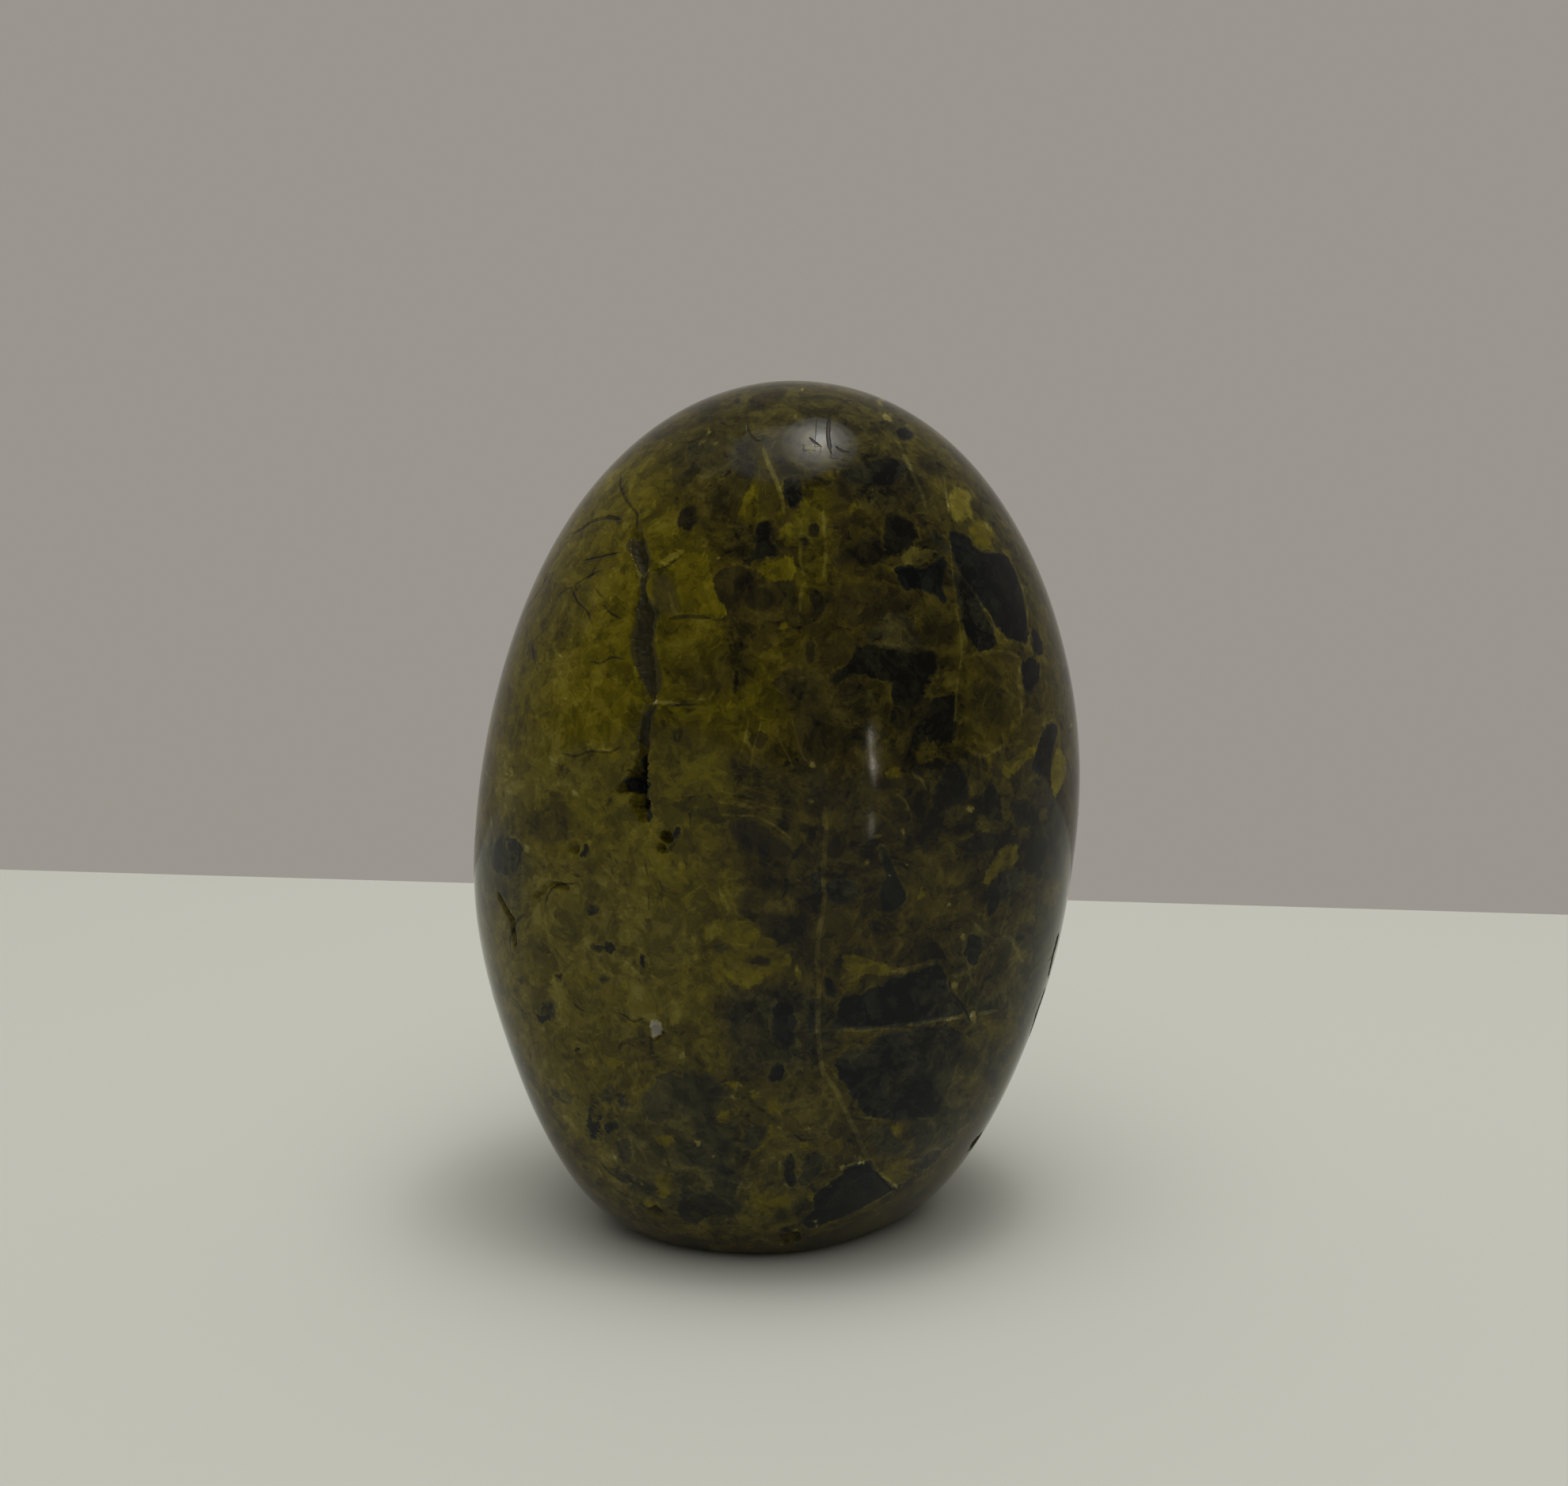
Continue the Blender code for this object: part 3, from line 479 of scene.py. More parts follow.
    "foot_gold": ("gold", 0.3, "1010,1442 1030,1440 1032,1450 1012,1451"),
    "foot_oval_right": ("slate", 0.4,
        "1018,1462 1025,1453 1036,1453 1040,1464 1036,1480 1028,1492 1014,1498 1008,1490 1014,1475"),
    "foot_oval_left": ("basalt", 0.35, "990,1462 997,1455 1004,1460 1003,1478 1006,1495 998,1500 990,1490"),
    "foot_yellow": ("gold", 0.4,
        "1110,1485 1115,1470 1135,1468 1145,1458 1155,1465 1145,1475 1160,1482 1165,1495 1160,1518 "
        "1145,1510 1130,1500 1120,1490"),
    "base_clast": ("ink", 0.35,
        "1027,1515 1030,1508 1040,1500 1048,1495 1055,1487 1065,1480 1068,1475 1078,1470 1090,1468 "
        "1098,1466 1103,1473 1110,1482 1120,1492 1126,1500 1135,1507 1145,1513 1160,1520 1150,1530 "
        "1135,1540 1110,1555 1080,1565 1050,1572 1040,1570 1025,1560 1015,1550 1013,1540 1020,1535 "
        "1028,1530"),
    "low_clast_streak": ("ink", 0.4, "893,1470 910,1472 930,1480 928,1490 905,1478"),
    "low_gold": ("gold", 0.5, "828,1482 842,1480 850,1495 846,1510 832,1512 826,1500"),
    "foot_border": ("gold", 0.3, "1018,1508 1026,1503 1029,1515 1026,1526 1020,1520"),
    "foot_yellow_left": ("gold", 0.6, "945,1508 965,1505 990,1508 1000,1518 985,1528 965,1532 948,1522"),
    "low_khaki": ("yellow", 0.5, "810,1516 830,1516 836,1530 828,1545 814,1538"),
    "foot_moss": ("moss", 0.4, "980,1528 996,1524 1002,1538 990,1546 980,1540"),
    "foot_chip": ("black", 0.3, "985,1550 996,1548 1001,1552 998,1559 988,1556"),
    "centre_gap_dark": ("umber", 0.4, "1132,888 1180,880 1165,905 1152,930 1130,922 1124,900"),
    "beside_kite": ("brown", 0.4,
        "908,717 945,716 955,735 945,745 935,757 930,772 924,785 915,775 905,750 899,733"),
    "upper_yellow_brown": ("moss", 0.5, "985,735 1003,735 1005,770 985,772"),
    # The top of the yellow column, reaching up into the lower part of the lamp's reflection: partly gold
    # stone, partly painted highlight
    "column_top_and_painted_highlight": ("gold", 0.6, "1030,572 1055,570 1052,602 1035,606"),
}

# Small rounded marks of the front, by kind: edge softness in mm, how many softnesses inside its
# edge the middle counts as, and the left, top, right and bottom edge of each in photo pixels
SPOTS = {
    "brown": (0.5, 0.0,
        "950,920,965,940 1040,1145,1065,1180 785,1310,830,1340 1307,1205,1314,1222 745,1380,752,1420 "
        "700,966,716,980"),
    "black": (0.4, 0.2,
        "1008,682,1022,697 740,1143,755,1155 762,1190,776,1204 748,1193,760,1200 805,1205,815,1228 "
        "757,1232,768,1240 700,1229,710,1236 725,1320,738,1328 742,1338,748,1346"),
    "cool": (0.6, 0.2,
        "870,565,890,585 905,560,925,600 748,1415,757,1435 780,1380,792,1395 680,1268,700,1290 "
        "622,1060,660,1105 742,1402,758,1436 763,1374,776,1388 780,1482,796,1492 1160,1455,1195,1480 "
        "812,762,830,786 1283,1180,1293,1190"),
    "grey": (0.6, 0.1,
        "665,808,678,830"),
    "olive": (0.6, 0.1,
        "1085,1150,1145,1185 1158,943,1174,966"),
    "yellow": (0.4, 0.3,
        "755,860,780,880 735,1228,755,1247 770,1245,795,1270 803,1288,820,1296 755,1282,770,1295 "
        "690,1210,700,1220 760,1333,785,1345 915,1365,935,1372 945,1378,960,1388 970,1385,985,1405 "
        "920,1400,940,1406 905,1405,920,1418 1073,638,1083,648 828,1500,846,1512 1160,1118,1168,1138 "
        # The last yellow spot, just under the lamp's reflection at the top, is partly yellow stone and partly
        # painted highlight
        "1015,560,1040,572"),
    "pale": (0.25, 0.5,
        "1115,522,1127,533 1105,503,1120,512 950,522,956,528 1000,522,1006,528 1009,489,1015,495 "
        "884,554,890,560 891,560,895,566 903,555,908,560 1133,685,1139,691 1244,665,1250,671 "
        "1020,1008,1028,1016 1022,962,1028,969 1219,1019,1225,1025 1137,1047,1143,1053 1276,1049,1282,1055 "
        "1092,1085,1098,1091 1119,1102,1125,1108 1142,1089,1148,1095 1212,1180,1218,1186 1084,1465,1092,1471 "
        "1042,1493,1048,1499 859,1329,865,1335 1003,1222,1009,1228 722,995,730,1008 1199,1240,1210,1256 "
        "1225,1278,1232,1291 1213,1178,1219,1190 1042,1493,1050,1500 1023,1524,1029,1530 1028,1538,1034,1544 "
        "1084,1544,1092,1552 1128,1492,1134,1501 1000,1548,1008,1560 1028,1560,1038,1566 1060,1470,1068,1477 "
        "895,1455,903,1463 931,1365,938,1373 924,1382,931,1390 1016,1420,1023,1427 982,1418,989,1426 "
        "793,1493,799,1502 806,1490,812,1500 904,702,913,708 889,540,898,549 876,1438,884,1447 "
        "1195,1138,1201,1146 662,1068,669,1076 1310,982,1315,988 1220,1017,1231,1026 806,716,820,724 "
        "820,882,831,887 1240,660,1250,673"),
}
OVAL_POINTS = 8             # points round a small mark
OVAL_UNEVENNESS = (0.8, 1.3)        # how far out they lie, as a share of half its size
OVAL_SEED = 5

# Pale veins of the front, and pale lines along the left rim and below the window gap's streak that are
# painted reflection: half width in mm, strength from 0 to 1, points along them
VEINS_AND_PAINTED_REFLECTIONS = {
    "fissure_cross": (0.22, 0.9, "808,724 820,719"),
    "neck_cross": (0.22, 0.9, "817,882 829,886 860,888"),
    "top_left": (0.25, 0.5, "810,562 840,555"),
    "top_diagonal": (0.25, 0.4, "890,605 912,590 935,575"),
    "cone_right": (0.28, 0.9, "963,562 968,580 975,595 982,612 987,630 990,650"),
    "centre_upper": (0.22, 0.7, "1018,727 1012,745 1010,775"),
    "top_right": (0.28, 0.7, "1125,545 1135,560 1142,575 1150,592 1158,610 1165,625 1170,645"),
    "lime_edge": (0.18, 0.9, "1192,600 1195,625 1198,650"),
    "clast_diagonal": (0.15, 0.7, "1208,718 1222,738 1235,755 1245,772 1255,785 1262,800"),
    "clast_right": (0.2, 0.8, "1262,690 1272,700 1285,725 1297,765 1297,800"),
    "block_right": (0.35, 0.6, "1287,838 1288,870 1291,905"),
    "yellow_line": (0.25, 0.8, "905,1012 930,1014 955,1020"),
    "clast_border": (0.16, 0.8, "905,1028 930,1030 950,1030 975,1040 1000,1060"),
    "long_vein": (0.3, 0.7,
        "1041,1015 1043,1045 1041,1080 1040,1100 1041,1130 1040,1145 1037,1165 1033,1185 1032,1210 "
        "1034,1240 1033,1270 1033,1295 1035,1325 1040,1355 1055,1375 1065,1395 1072,1412 1080,1425 "
        "1085,1440 1092,1455 1100,1468 1110,1480 1125,1493 1135,1505 1150,1515 1160,1520"),
    "arc_right": (0.35, 0.8, "1125,1226 1145,1224 1165,1218 1185,1211"),
    "cross_vein": (0.28, 0.9,
        "1060,1300 1085,1299 1100,1298 1120,1297 1140,1294 1165,1291 1180,1287 1198,1286 1240,1279 "
        "1260,1276"),
    "thin_right": (0.14, 0.5, "1220,1190 1222,1215 1230,1250"),
    "dark_foot_left": (0.18, 0.6, "1080,1410 1110,1412"),
    "dark_foot_right": (0.18, 0.6, "1155,1412 1185,1412"),
    "base_first": (0.2, 0.7, "1126,1500 1118,1515 1108,1530"),
    "base_second": (0.2, 0.7, "1150,1515 1130,1523 1118,1531 1100,1541 1088,1548"),
    # Two pale streaks along the left rim: painted reflection of the bright surroundings at the grazing edge
    "rim_painted_reflection": (0.25, 0.5, "633,1005 640,1020 645,1040 642,1055"),
    "rim_painted_reflection_outer": (0.25, 0.5, "620,1015 620,1040 625,1060 628,1080"),
    "left_boundary": (0.22, 0.5, "755,1088 765,1098 775,1110 785,1120"),
    "left_streak": (0.3, 0.5, "908,1120 915,1140 925,1155"),
    "clast_left": (0.13, 0.6,
        "1198,660 1201,700 1204,730 1208,770 1213,800 1215,820 1212,840 1208,870 1206,900 1204,940"),
    "block_top": (0.28, 0.6, "1213,832 1240,824 1275,824 1288,830"),
    "block_foot": (0.25, 0.5, "1215,940 1240,955 1265,942 1297,936"),
    "wisp_left": (0.16, 0.5, "945,905 942,930 936,948 932,960"),
    "wisp_second": (0.12, 0.5, "962,900 958,925 950,950 948,975"),
    "wisp_third": (0.12, 0.5, "978,915 985,935 995,955 1003,970"),
    "wisp_fourth": (0.12, 0.5, "1000,905 1006,930 1014,955 1024,966"),
    "wisp_fifth": (0.1, 0.5, "1012,975 1018,990 1022,1008"),
    "wisp_low": (0.14, 0.5, "905,998 925,1003 950,1012 975,1020 995,1022"),
    "wisp_low_second": (0.1, 0.5, "930,990 960,1000 990,1008 1012,1010"),
    # These two pale arcs are painted reflection: the foot of the window gap's streak in the polish
    "arc": (0.25, 1.0, "1093,1062 1100,1058 1107,1056 1117,1055"),
    "arc_low": (0.18, 0.8, "1106,1075 1112,1066 1120,1070"),
    "mid_curve": (0.18, 0.8, "1150,972 1155,980 1162,982 1168,992 1172,1000"),
    "mid_curve_second": (0.16, 0.7, "1130,1000 1142,1010 1150,1025 1152,1040"),
    "mid_streak": (0.14, 0.8, "1138,1045 1142,1058"),
    "right_curve": (0.28, 0.7, "1255,1186 1265,1184 1275,1184 1281,1192 1286,1205 1293,1216"),
    "foot_left_border": (0.22, 0.7, "985,1463 984,1478 987,1490 996,1500"),
    "foot_curve": (0.22, 0.7, "940,1488 932,1500 930,1515"),
    "foot_cross": (0.2, 0.7, "1063,1474 1075,1470 1092,1467"),
    "low_first": (0.25, 0.7, "772,1448 777,1462 785,1476"),
    "low_second": (0.25, 0.6, "755,1472 760,1486 766,1502"),
    "low_third": (0.2, 0.6, "800,1440 812,1455 818,1470"),
    "below_neck": (0.16, 0.6, "858,883 878,882 896,884"),
    "far_right": (0.2, 0.6, "1268,1096 1275,1120 1272,1150 1262,1180"),
    "right_diagonal": (0.2, 0.6, "1225,1160 1240,1175 1256,1186"),
    "column_left": (0.2, 0.6, "1013,650 1011,680 1010,710 1018,735"),
    "column_right": (0.2, 0.6, "1040,640 1041,670 1043,700 1040,730"),
}

# Dark hairlines of the front: half width in mm, strength from 0 to 1, points along them
HAIRLINES = {
    "arc_upper": (0.3, 0.9, "722,675 735,668 745,660 757,655 768,653 785,656"),
    "below_arc": (0.15, 0.8, "735,708 760,703 785,697"),
    "above_fissure": (0.18, 0.8, "785,598 783,612 790,630 797,640 805,648 803,670"),
    "net_first": (0.15, 0.7, "712,745 722,742 735,733 745,728 760,720"),
    "net_second": (0.15, 0.7, "702,765 705,752 715,745"),
    "net_third": (0.15, 0.7, "750,740 757,750 765,757"),
    "rim_line": (0.2, 0.6, "695,715 685,740 675,755 665,770 655,790"),
    "beside_kite": (0.25, 0.8, "843,782 856,779 870,778"),
    "under_kite": (0.25, 0.8, "845,783 870,778 900,781"),
    "top_line": (0.2, 0.7, "943,535 947,550 955,557 962,557"),
    "highlight_first": (0.2, 1.0, "1047,528 1046,550 1049,572"),
    "highlight_second": (0.16, 1.0, "1022,552 1030,560 1036,562"),
    "highlight_third": (0.16, 0.9, "1055,563 1063,570 1072,570"),
    "over_clast": (0.2, 0.7, "922,1003 935,1006 950,1008"),
    "left_line": (0.18, 0.7, "773,1005 768,1015 762,1018"),
    "chip_trail": (0.2, 0.6, "855,1060 847,1070 840,1078"),
    "arch": (0.18, 0.9, "688,1145 692,1130 700,1117 715,1116 728,1115"),
    "arch_bar": (0.2, 0.8, "722,1103 735,1107"),
    "left_crack": (0.2, 0.9, "664,1153 655,1160 648,1170 645,1185 645,1200"),
    "mid_first": (0.12, 0.7, "814,1085 816,1095 819,1108"),
    "mid_second": (0.12, 0.7, "818,1125 820,1140 819,1152"),
    "khaki_first": (0.15, 0.8, "723,1265 730,1272 740,1278"),
    "khaki_second": (0.15, 0.8, "780,1278 790,1283 800,1290 815,1285"),
    "under_white": (0.18, 0.7, "816,1308 826,1313 836,1308"),
    "right_first": (0.15, 0.8, "1333,1195 1327,1208 1322,1215"),
    "right_second": (0.15, 0.8, "1316,1250 1310,1262 1303,1278"),
    "below_neck": (0.16, 0.7, "840,889 860,890 880,889"),
    "dark_clast_edge": (0.22, 0.9, "1197,1238 1203,1255 1215,1270 1225,1290"),
    "low_first": (0.2, 0.8, "757,1465 770,1480 785,1490 795,1495"),
    "low_second": (0.2, 0.7, "775,1500 785,1520 795,1535"),
    "foot_arc": (0.2, 0.8, "1000,1430 1013,1440 1030,1438"),
    "foot_border": (0.2, 0.7, "1063,1478 1078,1474 1092,1471"),
    "base_edge": (0.18, 0.8, "1103,1477 1112,1488 1126,1503 1145,1517"),
    "left_net_fourth": (0.15, 0.8, "722,742 730,760 742,772 748,790"),
    "left_net_fifth": (0.15, 0.7, "760,762 772,775 785,782"),
    "left_net_sixth": (0.14, 0.7, "672,812 676,835 680,850"),
    "left_net_seventh": (0.15, 0.7, "742,835 758,838 772,830 790,832"),
    "left_low_net": (0.16, 0.7, "708,950 725,955 745,948 770,950 785,942"),
    "above_kite_line": (0.14, 0.7, "820,722 840,716 862,702"),
}

# Soft regions that the photo doesn't show: azimuth, elevation, radius and softness in mm,
# then tone, brown, khaki and cool
FAR_REGIONS = (
    (200, 10, 34, 12, 0.50, 0.10, 0.40, 0.00),
    (222, 42, 22, 10, 0.58, 0.00, 0.15, 0.00),
    (262, 8, 26, 8, 0.42, 0.55, 0.10, 0.05),
    (248, -24, 18, 6, 0.28, 0.10, 0.20, 0.55),
    (300, 24, 24, 8, 0.48, 0.25, 0.25, 0.00),
    (322, -12, 22, 8, 0.36, 0.15, 0.40, 0.35),
    (275, -45, 20, 8, 0.42, 0.10, 0.60, 0.10),
    (285, 62, 16, 8, 0.38, 0.50, 0.15, 0.10),
    (225, -50, 16, 6, 0.33, 0.10, 0.40, 0.35),
    (198, -18, 13, 4, 0.16, 0.30, 0.05, 0.45),
    (240, 22, 11, 4, 0.20, 0.85, 0.00, 0.10),
    (292, -6, 14, 4, 0.14, 0.20, 0.10, 0.55),
    (312, 44, 13, 5, 0.24, 0.85, 0.00, 0.00),
    (338, 18, 12, 4, 0.54, 0.05, -0.10, 0.00),
    (210, 64, 12, 5, 0.26, 0.30, 0.30, 0.40),
    (352, 6, 12, 4, 0.24, 0.50, 0.10, 0.30),
    (352, -34, 12, 4, 0.44, 0.10, 0.40, 0.05),
    (194, 32, 11, 4, 0.54, 0.00, -0.05, 0.00),
)

# Marks scattered where the photo doesn't show the stone: kind, how many, smallest and largest
# radius in mm, edge softness in mm
FAR_KINDS = (
    ("moss", 22, 1.5, 6.0, 0.6),
    ("brown", 20, 1.2, 5.0, 0.6),
    ("umber", 14, 1.0, 3.5, 0.4),
    ("olive", 22, 1.0, 5.0, 0.5),
    ("cool", 8, 2.0, 6.0, 0.4),
    ("basalt", 18, 2.0, 8.0, 0.4),
    ("slate", 18, 1.5, 7.0, 0.5),
    ("grey", 8, 0.8, 3.0, 0.5),
    ("black", 10, 0.6, 2.5, 0.4),
    ("gold", 20, 0.8, 4.5, 0.4),
    ("yellow", 14, 0.8, 3.5, 0.4),
    ("lime", 5, 0.6, 2.0, 0.3),
    ("pale", 20, 0.2, 0.7, 0.25),
)
FAR_FACING = 0.22           # skin this square to the camera, or less, isn't shown clearly: 1 is fully
FAR_STRETCH = (0.45, 0.9)   # width of a scattered mark, as a share of its length
FAR_CORNERS = (5, 8)        # how many corners it has
FAR_CORNER_REACH = (0.55, 1.3)      # how far its corners lie out, as a share of its radius
FAR_LINE_FACING = 0.32      # a scattered line ends where the skin is squarer to it than this
FAR_LINE_STEP = 2.2         # mm between the points of a scattered line
FAR_LINE_STRENGTH = (0.5, 0.9)
FAR_SEED = 29

# Lines of each kind: those traced, then how many are scattered where the photo doesn't show the
# stone, the range of their lengths and of their half widths in mm, and how much they bend
LINES = {
    # The vein kind also carries the painted reflections listed with the veins
    "vein": (VEINS_AND_PAINTED_REFLECTIONS, 28, (12, 55), (0.10, 0.28), 0.2),
    "hairline": (HAIRLINES, 40, (4, 18), (0.08, 0.20), 0.7),
}
LINE_REACH = 1.5            # distances to a line are kept up to this many mm
LINE_MARGIN = 0.5           # mm more within which they are measured
LINE_LAYERS = 3             # neighbouring lines lie in different layers
LINE_STEP = 12.0            # photo pixels between the points a line is read at
LINE_TAPER = 1.0            # mm over which a line thins out at its ends

# How marks are laid on the skin
MARK_REACH = 4.0            # distances to an edge are kept up to this many times its softness
CORNER_CUT = 0.2            # share of each side that is cut off at its corners
SAME_SIDE = 0.2             # a mark reaches only skin that faces its way this much: 1 is fully
SAME_SIDE_BLEND = 0.3       # a soft region has its full strength where skin does so this much more
STEEP = 0.8                 # a direction with more than this of up or down in it is a steep one
HALVINGS = 40               # steps in the search for the skin seen at a pixel
TINY = 1e-12                # stands in for a slope of 0

# Places that the texture follows, as swirls: size and reach in mm
FLOW = (7.0, 4.0)
FRAY = (1.6, 1.1)
SWIRL_DETAIL = 2.0
SHIFT_DIRECTION = (1.0, 1.7, -1.0)

# Layers of noise: place they follow, shift, feature size in mm, detail, roughness
CLOUDS = {
    "broad": ("flowing", 0.0, 6.0, 3.0, 0.55),
    "middle": ("ragged", 0.0, 2.2, 3.0, 0.60),
    "small": ("ragged", 31.0, 0.9, 2.0, 0.60),
    "grain": ("still", 57.0, 0.3, 2.0, 0.60),
    "fade": ("still", 5.0, 6.0, 1.0, 0.60),
    "patch_cloud": ("ragged", 11.0, 3.6, 3.0, 0.60),
    "speck_cloud": ("ragged", 41.0, 1.5, 1.0, 0.60),
    "glint_cloud": ("ragged", 67.0, 1.2, 1.0, 0.60),
    "thread_cloud": ("flowing", 71.0, 5.0, 2.0, 0.60),
    "break_cloud": ("still", 83.0, 2.2, 3.0, 0.60),
}
# Layers of angular fragments: place they follow, shift, size in mm
SHARDS = {
    "fragments": ("ragged", 17.0, 3.0),
    "chips": ("ragged", 23.0, 1.1),
}
# Layers with clear edges: the layer they are cut out of, where they are 0 and where they are 1
CUTOUTS = {
    "patches": ("patch_cloud", -0.015, 0.015),
    "flakes": ("middle", 0.005, 0.03),
    "specks": ("speck_cloud", 0.13, 0.19),
    "glints": ("glint_cloud", 0.15, 0.21),
    "threads": ("thread_course", 0.014, 0.003),
    "unbroken": ("break_cloud", -0.12, 0.10),
}

# How much of each layer goes into the texture's tone, and what is added to it throughout
TEXTURE_SHARES = {"broad": 0.40, "middle": 0.25, "small": 0.18, "fragments": 0.18, "chips": 0.08,
                  "patches": 0.10, "flakes": 0.08, "glints": 0.10, "threads": 0.06, "specks": -0.14}
TEXTURE_LEVEL = -0.08
# How much of each goes into the hues, a mark's edge, its blur and a line's course
BROWN_SHARES = {"broad": 1.2, "fragments": 0.25}
KHAKI_SHARES = {"middle": 0.8, "chips": 0.2}
EDGE_SHARES = {"middle": 4.0, "small": 3.0, "grain": 0.6}
BLUR_SHARES = {"fade": 4.0}
WANDER_SHARES = {"middle": 0.30, "small": 0.15}
# And what the finished tone, khaki, roughness and bump take from them. The tone's share of hollow is painted
# shade, darker where a crack or pit is deeper
TONE_SHARES = {"grain": 0.15, "veins_and_painted_reflections": 0.30, "hairlines": -0.35, "rims": 0.12, "hollow": -0.10}
VEIN_KHAKI_SHARES = {"veins_and_painted_reflections": 0.6}
ROUGHNESS_SHARES = {"middle": 0.08, "grain": 0.06, "hairlines": 0.25, "hollow": 0.45}
BUMP_SHARES = {"grain": 0.04, "small": 0.04, "hairlines": -1.0}

EDGE_BLUR = 0.55            # blur of a mark's edge, in softnesses, before the fading is added
SHARPEST_BLUR = 0.25
CALM_KINDS = ("fill",)      # kinds whose edge is less ragged
CALM_EDGE = 0.3             # how ragged it is, and that of the white spot, as a share of the others'
WHITE_EDGE = (-0.6, 0.8)    # softnesses inside its edge where the white spot starts and is full
RIM_EDGES = (-1.7, -0.7)    # the same for a mark's pale rim, which lies outside the edge
VEIN_SOFTNESS = 0.08        # mm
HAIRLINE_SOFTNESS = 0.07
FAINTEST_VEIN = 0.45        # strength of a vein where it is broken, as a share of the rest
WIDTH_PRESENCE = 20.0       # a line thinner than one part in this many of a mm fades out
# The darkening of the tone in a cut is painted shade
HOLLOW_EDGE = (0.05, 0.7)   # mm of depth at which a cut starts to darken, and is dark

# Finish
WHITE_SPOT = (0.26, 0.24, 0.21)
POLISH_ROUGHNESS = 0.10
POLISH_SPECULAR = 0.17
BUMP_HEIGHT = 0.05 * MM

# Stage: a table top whose back edge lies behind the stone, against the studio's even grey
FLOOR_HALF = 3.0
FLOOR_GAP = 0.00003         # how far under the ground flat the table lies
FLOOR_EDGE = 0.1516         # how far behind the stone the table ends
FLOOR_EDGE_SLOPE = -0.105
FLOOR_COLOUR = (0.79, 0.81, 0.76)
FLOOR_ROUGHNESS = 0.7
FLOOR_SPECULAR = 0.1
WORLD_BACK = (0.325, 0.303, 0.272)
WORLD_FRONT = (0.12, 0.115, 0.10)
WORLD_BLEND = (-0.5, 0.3)   # how far back a direction points where the front ends and the back starts

# Soft daylight: azimuth, elevation, distance, angle it spreads over, strength
SUN = (90, 73, 1.0, math.radians(60), 0.82)
SUN_COLOUR = (1.0, 0.995, 0.96)

# Lamps seen in the polish: name, azimuth, elevation, distance, width, height, radiance, colour
PALE_LIGHT = (1.0, 0.98, 0.95)
WARM_LIGHT = (1.0, 0.93, 0.76)
LAMPS = (
    ("ceiling_lamp", 7, 81, 0.80, 0.144, 0.072, 7.5, PALE_LIGHT),
    ("ceiling_halo", 7, 81, 0.79, 0.23, 0.16, 2.5, PALE_LIGHT),
    ("ceiling_glow", 7, 81, 0.78, 0.34, 0.24, 2.1, PALE_LIGHT),
    ("ceiling_rim", 7, 81, 0.77, 0.45, 0.32, 1.4, PALE_LIGHT),
    ("ceiling_haze", 60, 86, 0.80, 0.34, 0.30, 0.6, PALE_LIGHT),
    ("ceiling_wide_glow", 118, 82, 0.80, 0.50, 0.42, 0.8, PALE_LIGHT),
    ("window_gap_top", 62.8, 5.8, 0.80, 0.016, 0.048, 20.0, WARM_LIGHT),
    ("window_gap_middle", 62.8, 2.1, 0.80, 0.016, 0.036, 32.0, WARM_LIGHT),
    ("window_gap_foot", 63, -0.3, 0.80, 0.012, 0.015, 16.0, WARM_LIGHT),
    ("window_gap_low", 64.7, -6, 0.30, 0.006, 0.015, 11.0, WARM_LIGHT),
)
# These lamps show in the polish and light nothing else
SHEEN_ONLY = ("ceiling_halo", "ceiling_haze",
              "window_gap_top", "window_gap_middle", "window_gap_foot", "window_gap_low")

# What each kind of mark is made of: tone, brown, khaki, cool, and how much texture shows in it
KINDS = {
    "brown": (0.18, 0.90, 0.00, 0.10, 0.80),
    "olive": (0.33, 0.45, 0.10, 0.00, 0.80),
    "dun": (0.36, 0.45, 0.45, 0.00, 0.80),
    "moss": (0.25, 0.30, 0.10, 0.15, 0.80),
    "umber": (0.10, 0.85, 0.00, 0.15, 0.70),
    "gold": (0.44, 0.05, 0.05, 0.00, 0.80),
    "cool": (0.06, 0.05, 0.00, 0.95, 1.00),
    "basalt": (0.13, 0.10, 0.15, 0.75, 1.00),
    "slate": (0.22, 0.10, 0.30, 0.60, 0.80),
    "purple": (0.24, 0.80, 0.00, 0.25, 0.90),
    "grey": (0.32, 0.30, 0.30, 0.40, 0.90),
    "ink": (0.03, 0.00, 0.00, 1.00, 0.50),
    "black": (0.04, 0.20, 0.00, 0.60, 0.55),
    "yellow": (0.55, 0.00, 0.00, 0.00, 0.80),
    "lime": (0.70, 0.00, 0.20, 0.00, 0.70),
    "pale": (0.72, 0.20, 0.60, 0.00, 0.60),
    "fill": (0.37, 0.70, 0.25, 0.40, 0.30),
    "white": (1.00, 0.00, 1.00, 0.00, 0.20),
}
RIMMED_KINDS = ("cool", "basalt", "slate", "ink", "black")   # kinds with a pale rim, here and there
PLAIN_GROUND = (0.32, 0.65, 0.0, 0.05)      # tone, brown, khaki and cool where no region lies

